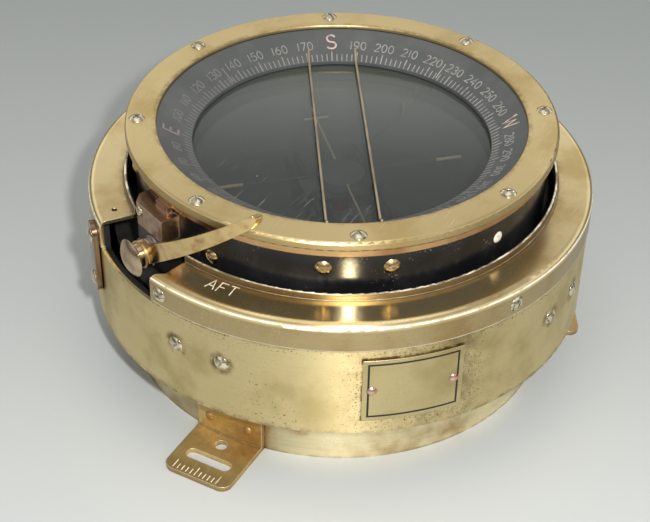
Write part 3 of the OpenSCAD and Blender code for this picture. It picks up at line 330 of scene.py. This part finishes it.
def wall_stain(f):
    """Brown film on the wall: patches and pits round the nameplate, along the lower edge and under the
    cover's skirt, a ring round each screw of the mounts, and a dark line at both edges. Close round the
    nameplate's edge the patches darken into a line that is brown film and painted shadow."""
    along = f.math("ABSOLUTE", f.times(f.less(f.azimuth(), math.radians(PLATE_A)), PLATE_R * MM))
    above = f.math("ABSOLUTE", f.less(f.z, PLATE_Z * MM))
    past = f.most(f.less(along, PLATE_W / 2 * MM), f.less(above, PLATE_H / 2 * MM))
    turn = f.math("PINGPONG", f.less(f.azimuth(), math.radians(MOUNT_A)), math.pi / 4)
    aside = f.times(f.less(turn, math.radians(MOUNT_SCREW_A)), PLATE_R * MM)
    from_screw = f.length(aside, f.less(f.z, MOUNT_SCREW_Z * MM))
    patches = f.patches(f.most(
        # Brown film and painted shadow: a dark line close round the nameplate's edge
        f.film(past, 1.4, 0.2, 1.6),
        f.film(past, 11, 0, 0.55),
        f.film(from_screw, 6, 3.2, 0.95),
        f.film(f.z, WALL_LOW_Z + 3.5, WALL_LOW_Z, 0.9),
        f.film(f.z, SEAM_Z - 1.6, SEAM_Z, 0.8),
    ))
    pitted = f.most(f.film(past, 17, 1), f.film(f.z, SEAM_Z - 5, SEAM_Z))
    pits = f.times(f.step(f.noise(1300, 1), 0.62, 0.69), pitted)
    seam = f.film(f.z, SEAM_Z - 0.55, SEAM_Z - 0.25, 0.85)
    chamfer = f.film(f.z, WALL_LOW_Z + 1.0, WALL_LOW_Z + 0.6, 0.7)
    return f.most(patches, pits, seam, chamfer)


def cover_stain(f):
    """Brown film on the cover: even on the turned-up edge of the opening and, as painted dark reflection,
    on the skirt, and in patches along both."""
    near = f.film(f.radius(), OPENING_R + 5, OPENING_R + 1, 0.45)
    low = f.film(f.z, SEAM_Z + 1.5, SEAM_Z, 0.7)
    collar = f.film(f.radius(), OPENING_R + 2, OPENING_R + 1.4, 0.9)
    # Painted reflection: the skirt is evenly darker, standing in for the dark things it mirrors
    skirt = f.film(f.z, FLAT_Z - 2, FLAT_Z - 3.4, 0.6)
    return f.most(f.patches(f.most(near, low)), collar, skirt)


def cover_rub(f):
    """Pale metal: a painted highlight where the shoulder turns over, runs on the crest of the opening's
    edge that are rubbed metal and painted highlight, and a pale line at the foot of the skirt."""
    level = f.level()
    # Painted highlight: a pale line along the shoulder where it turns over
    turned = f.times(f.step(level, 0.2, 0.32), f.step(level, 0.58, 0.46))
    shoulder = f.times(turned, f.film(f.radius(), OPENING_R + 7, OPENING_R + 9))
    crest = f.times(f.step(level, 0.6, 0.85), f.film(f.radius(), OPENING_R + 1.4, OPENING_R + 1.1))
    crest = f.times(crest, f.span(f.step(f.noise(90, 5, 0.75), 0.4, 0.6), 0.25, 1.0))
    foot = f.film(f.z, SEAM_Z + 0.5, SEAM_Z + 0.3, 0.5)
    return f.most(shoulder, crest, foot)


def base_stain(f):
    """Brown film on the drum: a cloudy darkening towards port that is painted reflection of the shaded
    floor, and brown film in patches along the joint with the wall.
    """
    # Painted reflection: the port side darkens as if it mirrored the shaded floor
    port = f.times(f.step(f.azimuth(), math.radians(-64), math.radians(-88)), 0.8)
    cloudy = f.times(port, f.span(f.noise(60, 4), 0.35, 0.75))
    return f.most(cloudy, f.patches(f.film(f.z, WALL_LOW_Z - 4, WALL_LOW_Z, 0.5)))


def foot_stain(f):
    """Brown film on the aft foot: even towards its outer end, and in patches at the bend."""
    end = f.film(f.y, FOOT_END_Y + 9, FOOT_END_Y + 3, 0.6)
    return f.most(end, f.patches(f.film(f.y, FOOT_END_Y + 13, FOOT_END_Y + 19, 0.4)))


def bezel_stain(f):
    """Brown film on the bezel in patches along its inner edge, and even brown painted shade on its outer
    side.
    """
    inner = f.film(f.radius(), BEZEL_IN_R + 2.2, BEZEL_IN_R + 0.4, 0.5)
    # Painted shade: the upright outer side is evenly darker brown
    return f.most(f.patches(inner), f.times(f.step(f.level(), 0.5, 0.2), 0.45))


def enamel(name, colour, scuff, rough, chip, matt_within=None, gleam=0.5, nicks=0.0, spread=0.0):
    """Paint on metal: gloss that varies with rubbing, fine scuffs, and bare metal at chipped edges.
    Within a radius it is the matt grey of the liquid space instead, darkened towards the top by painted
    shade, and has no chips.
    Nicks are fine bare specks, crowded in a few places."""
    f = Finish(name, Specular_IOR_Level=gleam)
    soft, turn = f.rounded(0.4)
    cloud = f.noise(70, 4)
    fine = f.noise(900, 3)
    bare = f.times(f.step(turn, 0.05, 0.25), f.step(f.noise(420, 4), 0.56, 0.62))
    if nicks:
        crowd = f.times(f.step(f.noise(75, 2), 0.5, 0.66), nicks)
        bare = f.most(bare, f.times(f.step(f.noise(1250, 2), 0.66, 0.72), crowd))
    tone = f.mix(f.step(cloud, 0.35, 0.75), colour, scuff)
    gloss = f.plus(f.span(cloud, rough, rough + 0.12), f.times(fine, 0.05))
    if matt_within:
        outer = f.film(f.radius(), matt_within - 0.5, matt_within + 0.5)
        bare = f.times(bare, outer)
        # Painted shade: the bowl's wall darkens towards the top, under the ring
        shade = f.film(f.z, SHADE_LOW_Z, SHADE_TOP_Z)
        liquid = f.mix(shade, f.mix(cloud, LIQUID_GREY, LIQUID_PALE), LIQUID_SHADE)
        tone = f.mix(outer, liquid, tone)
        gloss = f.most(gloss, f.times(f.less(1.0, outer), 0.65))
    f.set({
        "Base_Color": f.mix(bare, tone, chip),
        "Metallic": bare,
        "Roughness": gloss,
        "Normal": f.bump(fine, 0.02, soft),
    })
    if spread:
        f.spread_round(spread)
    return f


def bare_metal(name, bright, dark, rough, grain=(500, 500, 500), strength=0.06, edge=0.25,
               shade_below=None):
    """Plain worked metal: streaky grain, darker in the corners with dirt and painted shade, and brighter
    at rubbed edges. Below a height it may be painted black as painted shade."""
    f = Finish(name)
    stretched = f.add("VectorMath", {0: f.place, 1: grain}, operation="MULTIPLY")
    streak = f.add("TexNoise", {"Vector": stretched, "Scale": 1.0, "Detail": 4.0})
    soft, turn = f.rounded(edge)
    # Dirt and painted shade: corners, slots and the metal under heads turn dark and less metallic
    grime_and_shade = f.step(f.corners(1.6), 0.2, 0.62)
    tone = f.mix(f.most(f.step(streak, 0.4, 0.8), grime_and_shade), bright, dark)
    pale = tuple(min(1.0, 1.25 * c) for c in bright[:3]) + (1.0,)
    tone = f.mix(f.step(turn, 0.02, 0.22), tone, pale)
    metal = f.span(grime_and_shade, 1.0, 0.15)
    # Painted shade: below the height the metal is painted black, where it lies in shade
    if shade_below:
        bare = f.film(f.z, shade_below - 0.2, shade_below + 0.2)
        tone = f.mix(bare, SHADE_BLACK, tone)
        metal = f.times(metal, bare)
    f.set({
        "Metallic": metal,
        "Base_Color": tone,
        "Roughness": f.plus(f.span(streak, rough - 0.06, rough + 0.1), f.times(grime_and_shade, 0.3)),
        "Normal": f.bump(streak, strength, soft),
    })
    return f


def fill(name, colour, worn, rough):
    """Paint rubbed into engraved lines, uneven where it has worn thin."""
    f = Finish(name)
    patch = f.noise(700, 4)
    f.set({
        "Base_Color": f.mix(f.step(patch, 0.42, 0.7), colour, worn),
        "Roughness": f.span(patch, rough, rough + 0.2),
    })
    return f


def worn_marks(name, colour):
    """Scale paint that is sound at the back of the ring and rubbed away towards the front and the left."""
    f = Finish(name)
    patch = f.noise(520, 4)
    sound = f.plus(f.times(f.y, 9.0), f.times(f.x, 3.5))
    kept = f.span(f.step(f.plus(sound, f.span(patch, -0.45, 0.45)), -0.35, 0.55), 0.3, 1.0)
    uneven = f.mix(f.step(patch, 0.4, 0.7), colour, srgb(128, 124, 118))
    f.set({
        "Base_Color": f.mix(kept, srgb(92, 91, 88), uneven),
        "Roughness": f.span(patch, 0.45, 0.65),
    })
    return f


def dial_glass():
    """Old glass: an uneven grey haze, paler and denser on the far side as a painted reflection, dust, and
    scratches near aft.
    """
    f = Finish("dial glass", IOR=1.5, Coat_Weight=1.0, Coat_Roughness=0.05, Alpha=0.45)
    haze = f.noise(40, 4)
    dust = f.times(f.step(f.noise(700, 1), 0.76, 0.8), 0.8)
    scored = f.times(f.scratches((0, 0, 1.1), width=1500, length=60), f.film(f.y, -15, -45))
    marks = f.most(dust, f.times(scored, 0.5))
    thin = f.mix(haze, srgb(28, 34, 30), srgb(42, 48, 44))
    far_haze_and_reflection = f.mix(haze, srgb(98, 103, 96), srgb(112, 116, 108))
    # Painted reflection: the glass turns paler towards the far side, where it mirrors more of the sky
    haze_and_reflection = f.mix(f.film(f.along_view(), -30, 55), thin, far_haze_and_reflection)
    f.set({
        "Base_Color": f.mix(marks, haze_and_reflection, srgb(210, 208, 200)),
        "Roughness": f.span(haze, 0.06, 0.12),
    })
    return f


def jewel_stone():
    """Clear red stone with a faintly uneven polish."""
    f = Finish("jewel stone", Transmission_Weight=0.7, IOR=1.76, Base_Color=(0.5, 0.05, 0.12, 1))
    f.set({"Roughness": f.span(f.noise(900, 2), 0.05, 0.15)})
    return f


def make_finishes():
    """Every finish of the compass, by the name of what it covers."""
    return {
        "wall": brass("wall brass", srgb(226, 207, 155), srgb(197, 178, 125), 0.38,
                      brown=srgb(96, 72, 38), marks=0.05, specks=0.85, spread=0.85,
                      black=WALL_SHADE, stain_and_shade=wall_stain),
        "base": brass("base brass", srgb(252, 238, 194), srgb(186, 150, 90), 0.24, spread=0.88,
                      stain_and_shade=base_stain),
        "cover": brass("cover brass", srgb(236, 214, 162), srgb(210, 182, 124), 0.14,
                       brown=srgb(92, 69, 38), marks=0.025, edge=0.6, spread=0.5,
                       black=COVER_SHADE, stain_and_shade=cover_stain, rub_and_highlight=cover_rub, metal=0.945),
        "bezel": brass("bezel brass", srgb(230, 206, 150), srgb(212, 184, 124), 0.29, marks=0.035,
                       specks=0.1, edge=0.3, spread=0.6, black=BEZEL_SHADE, stain_and_shade=bezel_stain),
        "ring": brass("ring brass", srgb(206, 166, 116), srgb(168, 120, 80), 0.2,
                      brown=srgb(120, 68, 46), marks=0.04, specks=0.1, spread=0.6),
        "foot": brass("foot brass", srgb(222, 190, 122), srgb(184, 146, 84), 0.24,
                      brown=srgb(92, 72, 50), marks=0.02, stain_and_shade=foot_stain, metal=0.7),
        "side_feet": brass("side foot brass", srgb(214, 184, 124), srgb(180, 142, 86), 0.3, marks=0.02),
        "plate": brass("nameplate brass", srgb(204, 187, 139), srgb(180, 160, 110), 0.25, marks=0.02),
        "lever": bare_metal("lever brass", srgb(216, 188, 134), srgb(166, 130, 82), 0.18,
                            grain=(240, 240, 240), strength=0.02),
        "knob": bare_metal("knob brass", srgb(198, 176, 146), srgb(140, 108, 84), 0.16,
                           grain=(160, 160, 160), strength=0.02),
        "strap": bare_metal("strap brass", srgb(136, 112, 88), srgb(82, 52, 42), 0.2,
                            grain=(300, 300, 60)),
        "screws": bare_metal("screw brass", srgb(232, 220, 190), srgb(44, 32, 20), 0.18,
                             grain=(600, 600, 600), strength=0.03, edge=0.2),
        "old_screws": bare_metal("tarnished screw brass", srgb(206, 178, 128), srgb(78, 54, 30), 0.24,
                                 grain=(700, 700, 700), strength=0.05, edge=0.2),
        "dull_rivets": bare_metal("dull rivet brass", srgb(186, 150, 92), srgb(140, 106, 62), 0.55),
        "copper": bare_metal("rivet copper", srgb(226, 182, 166), srgb(140, 88, 76), 0.22),
        "bronze": bare_metal("block bronze", srgb(182, 154, 132), srgb(138, 110, 86), 0.3,
                             grain=(500, 500, 300), strength=0.03, shade_below=BLOCK_SHADE_Z),
        "steel": bare_metal("bright steel", srgb(206, 204, 200), srgb(104, 100, 94), 0.2),
        "dark_steel": bare_metal("dark steel", srgb(112, 118, 116), srgb(84, 90, 88), 0.5),
        "alloy": bare_metal("cast alloy", srgb(176, 178, 180), srgb(110, 112, 114), 0.45,
                            grain=(420, 420, 420), strength=0.2),
        # Painted shade: the brackets and carrier ring are black so that the inside of the case stays as
        # dark as its shade
        "bracket": enamel("bracket black", (0.012, 0.012, 0.012, 1), (0.03, 0.028, 0.025, 1), 0.4,
                          srgb(150, 122, 70)),
        "band": enamel("band enamel", (0.006, 0.006, 0.007, 1), (0.016, 0.016, 0.017, 1), 0.1,
                       srgb(214, 186, 120), matt_within=BOWL_WALL_R, gleam=0.36, nicks=0.8, spread=0.85),
        "inner": enamel("inner grey", LIQUID_GREY, LIQUID_PALE, 0.55, srgb(110, 112, 104)),
        "inner_screws": enamel("inner screw grey", LIQUID_GREY, LIQUID_PALE, 0.5, srgb(120, 116, 100)),
        "plug": enamel("plug white", srgb(236, 228, 214), srgb(206, 194, 174), 0.35, srgb(190, 170, 120)),
        "scale": enamel("scale black", (0.078, 0.082, 0.078, 1), (0.105, 0.108, 0.102, 1), 0.42,
                        srgb(120, 116, 106)),
        "cream": enamel("aged cream", srgb(158, 142, 116), srgb(120, 104, 82), 0.45, srgb(176, 152, 108)),
        "pointer_cream": enamel("pointer cream", srgb(244, 226, 186), srgb(220, 196, 150), 0.5,
                                srgb(200, 176, 130)),
        "pale_marks": worn_marks("scale marks", srgb(160, 156, 148)),
        "cardinals": worn_marks("cardinal letters", srgb(222, 188, 176)),
        "red_mark": fill("north red", srgb(196, 54, 44), srgb(120, 34, 30), 0.45),
        "white_fill": fill("white engraving", srgb(240, 232, 208), srgb(196, 176, 134), 0.35),
        "black_fill": fill("black engraving", srgb(20, 17, 13), srgb(34, 27, 19), 0.5),
        "rubber": fill("mount rubber", (0.02, 0.02, 0.02, 1), (0.05, 0.047, 0.043, 1), 0.6),
        "glass": dial_glass(),
        "jewel": jewel_stone(),
    }


def dress(finishes):
    """Gives every CAD node its finish."""
    worn_by = {
        "wall": "case_wall",
        "base": "base_ring base_plate",
        "cover": "case_cover",
        "bezel": "bezel_plate",
        "ring": "grid_ring",
        "foot": "aft_foot",
        "side_feet": "port_foot starboard_foot",
        "dull_rivets": "foot_rivets",
        "plate": "nameplate",
        "lever": "clamp_lever",
        "knob": "clamp_knob",
        "strap": "cover_strap",
        "bracket": "suspension_brackets carrier_ring",
        "screws": "base_screws case_rivets cover_screws strap_screws suspension_screws"
                  " carrier_screws clamp_block_screws bezel_screws",
        "old_screws": "band_screws",
        "inner_screws": "diaphragm_screws bridge_screws",
        "copper": "nameplate_rivets",
        "bronze": "clamp_block clamp_shoe",
        "steel": "corrector_magnets ring_keeper clamp_bush clamp_spindle clamp_nut",
        "dark_steel": "magnet_bars pivot_pin",
        "alloy": "corrector_box",
        "band": "bowl",
        "inner": "diaphragm verge_ring diaphragm_cover pivot_bridge pivot_post magnet_float magnet_yoke"
                 " beam_wires damping_wires",
        "scale": "scale_cone",
        "cream": "lubber_line grid_wires",
        "pointer_cream": "pointer_wires beam_tubes",
        "plug": "filler_plug",
        "rubber": "suspension_pads glass_gasket",
        "glass": "bowl_glass",
        "jewel": "jewel_cup",
    }
    for finish, names in worn_by.items():
        finishes[finish].paint_on(*names.split())


def arc(cx, cy, rx, ry, start, end, steps=13):
    """Points of an elliptic arc about (cx, cy), from one angle to another in degrees."""
    t = np.radians(np.linspace(start, end, steps))
    return np.stack([cx + rx * np.cos(t), cy + ry * np.sin(t)], axis=1)


def line(*points):
    """Points of a stroke made of straight runs."""
    return np.array(points, float)


# Engraver's single-stroke letters: width, then strokes, for a letter of height 1
GLYPHS = {
    "0": (0.56, [arc(0.28, 0.5, 0.28, 0.5, 90, 450, 25)]),
    "1": (0.2, [line((0.1, 0), (0.1, 1))]),
    "2": (0.56, [np.vstack([arc(0.28, 0.72, 0.27, 0.28, 160, -35), line((0, 0), (0.56, 0))])]),
    "3": (0.56, [np.vstack([arc(0.27, 0.76, 0.24, 0.24, 150, -80),
                            arc(0.27, 0.26, 0.29, 0.26, 80, -150)])]),
    "4": (0.6, [line((0.44, 0), (0.44, 1), (0, 0.3), (0.6, 0.3))]),
    "5": (0.56, [np.vstack([line((0.5, 1), (0.1, 1), (0.06, 0.56)),
                            arc(0.26, 0.32, 0.3, 0.32, 125, -150)])]),
    "6": (0.56, [arc(0.28, 0.3, 0.28, 0.3, 0, 360, 21), arc(0.62, 0.3, 0.62, 0.72, 108, 180)]),
    "7": (0.54, [line((0, 1), (0.54, 1), (0.18, 0))]),
    "8": (0.56, [arc(0.28, 0.76, 0.22, 0.24, 0, 360, 19), arc(0.28, 0.27, 0.28, 0.27, 0, 360, 19)]),
    "9": (0.56, [arc(0.28, 0.7, 0.28, 0.3, 0, 360, 21), arc(-0.06, 0.7, 0.62, 0.72, -72, 0)]),
    "N": (0.66, [line((0, 0), (0, 1), (0.66, 0), (0.66, 1))]),
    "E": (0.56, [line((0.56, 0), (0, 0), (0, 1), (0.56, 1)), line((0, 0.52), (0.46, 0.52))]),
    "S": (0.6, [np.vstack([arc(0.3, 0.75, 0.27, 0.25, 25, 262), arc(0.3, 0.25, 0.3, 0.25, 82, -155)])]),
    "W": (0.9, [line((0, 1), (0.22, 0), (0.45, 0.8), (0.68, 0), (0.9, 1))]),
    "A": (0.64, [line((0, 0), (0.32, 1), (0.64, 0)), line((0.11, 0.34), (0.53, 0.34))]),
    "F": (0.52, [line((0, 0), (0, 1), (0.52, 1)), line((0, 0.52), (0.42, 0.52))]),
    "T": (0.6, [line((0.3, 0), (0.3, 1)), line((0, 1), (0.6, 1))]),
}
LETTER_GAP = 0.24


def word(text, height):
    """Strokes of a word, centred on the origin, with its middle at half its height."""
    widths = [GLYPHS[c][0] for c in text]
    left = np.cumsum([0] + [w + LETTER_GAP for w in widths])
    middle = (left[-1] - LETTER_GAP) / 2
    return [(stroke + (x - middle, -0.5)) * height
            for c, x in zip(text, left) for stroke in GLYPHS[c][1]]


def ribbon(path, width, height):
    """Low bar along a flat path: a rectangle, half the width to each side and from 0 to the height,
    carried along the path square to the mean of its neighbouring runs and widened there by the mitre.
    Gives points (along u, along v, height h) and faces. A path that ends where it starts closes on
    itself."""
    closed = np.allclose(path[0], path[-1])
    if closed:
        path = path[:-1]
    run = np.roll(path, -1, axis=0) - path if closed else np.diff(path, axis=0)
    run = run / np.linalg.norm(run, axis=1)[:, None]
    before = np.roll(run, 1, axis=0) if closed else np.vstack([run[:1], run])
    after = run if closed else np.vstack([run, run[-1:]])
    mean = before + after
    mean = mean / np.maximum(np.linalg.norm(mean, axis=1), 1e-6)[:, None]
    side = np.stack([-mean[:, 1], mean[:, 0]], axis=1)
    mitre = 1 / np.maximum((mean * after).sum(axis=1), 0.5)
    reach = side * (mitre * width / 2)[:, None]
    count = len(path)
    flat = np.stack([path + reach, path + reach, path - reach, path - reach], axis=1)
    level = np.broadcast_to([0, height, height, 0], (count, 4))
    points = np.dstack([flat, level]).reshape(-1, 3)
    first = np.arange(count if closed else count - 1)[:, None]
    turn = np.arange(4)[None, :]
    here, there = first * 4, (first + 1) % count * 4
    quads = np.stack([here + turn, there + turn, there + (turn + 1) % 4, here + (turn + 1) % 4], axis=-1)
    faces = quads.reshape(-1, 4)
    if not closed:
        ends = np.array([[0, 1, 2, 3], [4 * count - 1, 4 * count - 2, 4 * count - 3, 4 * count - 4]])
        faces = np.vstack([faces, ends])
    return points, faces


def piece(name, points, faces, body, finish, smooth=False):
    """Mesh at the origin from points in millimetres, its faces turned outward, riding on a body."""
    mesh = bpy.data.meshes.new(name)
    mesh.from_pydata((np.asarray(points) * MM).tolist(), [], [list(map(int, f)) for f in faces])
    work = bmesh.new()
    work.from_mesh(mesh)
    bmesh.ops.recalc_face_normals(work, faces=work.faces)
    work.to_mesh(mesh)
    work.free()
    mesh.polygons.foreach_set("use_smooth", np.full(len(mesh.polygons), smooth))
    mesh.materials.append(finish.material)
    made = bpy.data.objects.new(name, mesh)
    bpy.context.scene.collection.objects.link(made)
    if body:
        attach(made, body)
    return made


def engraving(name, strokes, body, finish):
    """One piece from many filled lines; each stroke is (path, width, height, place of its points)."""
    points, faces, count = [], [], 0
    for path, width, height, place in strokes:
        bar, sides = ribbon(np.asarray(path, float), width, height)
        points.append(np.stack(place(*bar.T), axis=1))
        faces.append(sides + count)
        count += len(bar)
    piece(name, np.vstack(points), np.vstack(faces), body, finish)


def on_scale(reading, rise=0.0):
    """Place on the sloping scale: u runs clockwise along the rim from a reading, v up the slope from its
    inner edge plus a rise, and h stands square to the slope."""
    def place(u, v, h):
        up = v + rise
        r = DIAL_R + up * math.cos(SCALE_SLOPE) - h * math.sin(SCALE_SLOPE)
        z = SCALE_LOW_Z + up * math.sin(SCALE_SLOPE) + h * math.cos(SCALE_SLOPE)
        a = math.radians(RING_NORTH_A - reading) - u / r
        return r * np.cos(a), r * np.sin(a), z
    return place


def on_cover(azimuth, radius):
    """Place on the cover flat: u runs anticlockwise along the rim, v inward and h up."""
    def place(u, v, h):
        a = math.radians(azimuth) + u / radius
        r = radius - v
        return r * np.cos(a), r * np.sin(a), FLAT_Z + h
    return place


def on_plate(u, v, h):
    """Place on the nameplate: u runs along the rim from its middle, v up and h outward."""
    a = math.radians(PLATE_A) + u / PLATE_R
    return (PLATE_R + h) * np.cos(a), (PLATE_R + h) * np.sin(a), PLATE_Z + v


def on_foot(u, v, h):
    """Place on the aft foot: u runs to starboard, v inward from its outer end and h up."""
    return u, FOOT_END_Y + v, FOOT_Z + h


def scale_marks(finishes):
    """Tick every 2 degrees, longer every 10, a long one at each half quarter, and the readings."""
    film = 0.06
    tick_low, tick_top, tick_w = 0.2, 3.3, 0.4
    ten_top, ten_w = 4.4, 0.5
    half_low, half_top, half_w = 1.0, 8.2, 0.45
    number_rise, number_h, number_w = 7.4, 3.5, 0.42
    letter_rise, letter_h, letter_w = 8.9, 6.2, 0.75
    north_w = 0.8
    bar_rise, bar_half, bar_w = 4.0, 5.2, 3.4
    ticks = []
    for reading in range(0, 360, 2):
        top, width = (ten_top, ten_w) if reading % 10 == 0 else (tick_top, tick_w)
        ticks.append(([(0, tick_low), (0, top)], width, film, on_scale(reading)))
    for reading in range(45, 360, 90):
        ticks.append(([(0, half_low), (0, half_top)], half_w, film, on_scale(reading)))
    engraving("scale_ticks", ticks, "grid_ring", finishes["pale_marks"])
    readings = []
    for reading in range(10, 360, 10):
        if reading % 90:
            place = on_scale(reading, number_rise)
            readings += [(stroke, number_w, film, place) for stroke in word(str(reading), number_h)]
    engraving("scale_readings", readings, "grid_ring", finishes["pale_marks"])
    letters = []
    for letter, reading in (("E", 90), ("S", 180), ("W", 270)):
        place = on_scale(reading, letter_rise)
        letters += [(stroke, letter_w, film, place) for stroke in word(letter, letter_h)]
    engraving("cardinal_letters", letters, "grid_ring", finishes["cardinals"])
    north = [(stroke, north_w, film, on_scale(0, letter_rise)) for stroke in word("N", letter_h)]
    north.append(([(-bar_half, 0), (bar_half, 0)], bar_w, film, on_scale(0, bar_rise)))
    engraving("north_mark", north, "grid_ring", finishes["red_mark"])


def case_engraving(finishes):
    """Letters on the cover flat, line round the nameplate and graduations at the end of the aft foot."""
    film = 0.05
    aft_h, aft_w = 4.9, 0.38
    letters = [(stroke, aft_w, film, on_cover(AFT_A, AFT_R)) for stroke in word("AFT", aft_h)]
    engraving("aft_letters", letters, "case", finishes["white_fill"])
    margin, border_w, steps = 1.9, 0.7, 25
    half_w, half_h = PLATE_W / 2 - margin, PLATE_H / 2 - margin
    side = np.linspace(-half_w, half_w, steps)
    level = np.full(steps, half_h)
    loop = np.vstack([np.stack([side, -level], axis=1), np.stack([side[::-1], level], axis=1),
                      [(-half_w, -half_h)]])
    border = [(loop, border_w, film, on_plate)]
    engraving("nameplate_line", border, "case", finishes["black_fill"])
    port_end, starboard_end, count = -9.5, 8.5, 11
    low, short_top, long_top, graduation_w = 0.9, 3.4, 5.0, 0.35
    graduations = []
    for i, u in enumerate(np.linspace(port_end, starboard_end, count)):
        top = long_top if i % 5 == 0 else short_top
        graduations.append(([(u, low), (u, top)], graduation_w, film, on_foot))
    engraving("foot_graduations", graduations, "case", finishes["white_fill"])


def rubber_mounts(finishes):
    """Four barrel-shaped mounts: with t from 0 to 1 up the mount, the radius is the full one times
    0.86 + 0.14 sin(pi t), pinched to 0.95 of that at both bonded ends."""
    rows, columns = 25, 40
    ends, bulge, pinch, bond = 0.86, 0.14, 0.05, 0.06
    t = np.linspace(0, 1, rows)[:, None]
    angle = np.linspace(0, 2 * math.pi, columns, endpoint=False)[None, :]
    bonded = 1 - pinch * (np.minimum(t, 1 - t) < bond)
    r = MOUNT_R * (ends + bulge * np.sin(math.pi * t)) * bonded
    z = np.broadcast_to(MOUNT_LOW_Z + (MOUNT_TOP_Z - MOUNT_LOW_Z) * t, (rows, columns))
    barrel = np.stack([r * np.cos(angle), r * np.sin(angle), z], axis=-1).reshape(-1, 3)
    i, j = np.meshgrid(np.arange(rows - 1), np.arange(columns), indexing="ij")
    after = (j + 1) % columns
    sides = np.stack([i * columns + j, i * columns + after,
                      (i + 1) * columns + after, (i + 1) * columns + j], axis=-1).reshape(-1, 4)
    points, faces = [], []
    for k in range(4):
        a = math.radians(MOUNT_A + 90 * k)
        centre = np.array([MOUNT_RING_R * math.cos(a), MOUNT_RING_R * math.sin(a), 0])
        start = k * rows * columns
        points.append(barrel + centre)
        faces += (sides + start).tolist()
        faces.append(list(range(start, start + columns)))
        faces.append(list(range(start + (rows - 1) * columns, start + rows * columns)))
    made = piece("rubber_mounts", np.vstack(points), faces, None, finishes["rubber"], True)
    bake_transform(made)
    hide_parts("suspension_pads")


def photo_camera():
    """Camera of the photograph: its axis looks down at the elevation towards a point on the upright axis,
    is rolled a little, and stands turned round from aft; the shift moves the picture by a few pixels.
    Its distances are in metres."""
    focal_px, distance, target_z = 1504.589, 0.596357, 0.028414
    shift_px = (-13.943, -1.873)
    elevation, roll = math.radians(37.164), math.radians(1.408)
    forward = np.array([0, math.cos(elevation), -math.sin(elevation)])
    right = np.array([1.0, 0, 0])
    up = np.cross(right, forward)
    right, up = (right * math.cos(roll) + up * math.sin(roll),
                 up * math.cos(roll) - right * math.sin(roll))
    stand = -forward * distance + (0, 0, target_z)
    pose = np.eye(4)
    pose[:3, :] = np.stack([right, up, -forward, stand], axis=1)
    data = bpy.data.cameras.new("photo camera")
    data.sensor_width = SENSOR_W
    data.lens = focal_px / IMAGE_W * SENSOR_W
    data.shift_x = shift_px[0] / IMAGE_W
    data.shift_y = shift_px[1] / IMAGE_W
    data.clip_start = 0.01
    camera = bpy.data.objects.new("photo camera", data)
    bpy.context.scene.collection.objects.link(camera)
    camera.matrix_world = Matrix.Rotation(FRONT_TURN, 4, "Z") @ Matrix(pose.tolist())
    bpy.context.scene.camera = camera
    return camera


def lamp(name, place, target, size, power):
    """Square soft lamp, in metres and watts, facing a point."""
    data = bpy.data.lights.new(name, "AREA")
    data.size = size
    data.energy = power
    made = bpy.data.objects.new(name, data)
    bpy.context.scene.collection.objects.link(made)
    made.location = place
    made.rotation_mode = "QUATERNION"
    made.rotation_quaternion = (Vector(target) - Vector(place)).to_track_quat("-Z", "Y")


def studio_sky():
    """Sky that is the same all round, in pairs of height, from 0 at the horizon to 1 overhead, and
    brightness: dark at the horizon, bright above it, dimmer higher up and bright again overhead."""
    world = bpy.data.worlds.new("studio")
    bpy.context.scene.world = world
    world.use_nodes = True
    tree = world.node_tree
    way = tree.nodes.new("ShaderNodeTexCoord").outputs["Generated"]
    apart = tree.nodes.new("ShaderNodeSeparateXYZ")
    tree.links.new(way, apart.inputs[0])
    ramp = tree.nodes.new("ShaderNodeValToRGB")
    tree.links.new(apart.outputs["Z"], ramp.inputs[0])
    stops = ramp.color_ramp.elements
    stops[0].color = (0.1, 0.1, 0.1, 1)
    stops[1].color = (1.1, 1.1, 1.08, 1)
    for rise, level in ((0.2, 0.3), (0.34, 1.0), (0.47, 1.05), (0.525, 0.8),
                        (0.59, 0.5), (0.72, 0.43), (0.86, 0.4), (0.94, 1.1)):
        stops.new(rise).color = (level, level, 0.985 * level, 1)
    background = tree.nodes["Background"]
    tree.links.new(ramp.outputs[0], background.inputs[0])


def pale_floor():
    """Square floor, in metres, a little darker on the far side as painted falloff of the lamp's light."""
    side = 4.0
    mesh = bpy.data.meshes.new("floor")
    mesh.from_pydata([(-side, -side, 0), (side, -side, 0), (side, side, 0), (-side, side, 0)], [],
                     [(0, 1, 2, 3)])
    floor = bpy.data.objects.new("floor", mesh)
    bpy.context.scene.collection.objects.link(floor)
    f = Finish("pale floor", Roughness=0.5)
    near = f.mix(f.noise(8, 2), srgb(190, 193, 191), srgb(195, 198, 196))
    far = f.mix(f.noise(8, 2), srgb(150, 155, 153), srgb(154, 159, 157))
    # Painted light: lighter on the near side, where the lamp beside the camera reaches, darker far off
    f.set({"Base_Color": f.mix(f.step(f.along_view(), -0.2, 0.45), near, far)})
    mesh.materials.append(f.material)


def studio(camera):
    """Sky and floor, and one small lamp beside the camera that faces the middle of the compass."""
    aside, above, middle_z = 0.045, 0.03, 0.05
    studio_sky()
    pale_floor()
    beside = camera.matrix_world @ Matrix.Translation((aside, above, 0.0))
    lamp("camera lamp", beside.translation, (0, 0, middle_z), size=0.022, power=3.0)


def main():
    """Builds the whole scene."""
    finishes = make_finishes()
    dress(finishes)
    scale_marks(finishes)
    case_engraving(finishes)
    rubber_mounts(finishes)
    camera = photo_camera()
    studio(camera)
    bpy.context.scene.view_settings.view_transform = "Standard"


main()
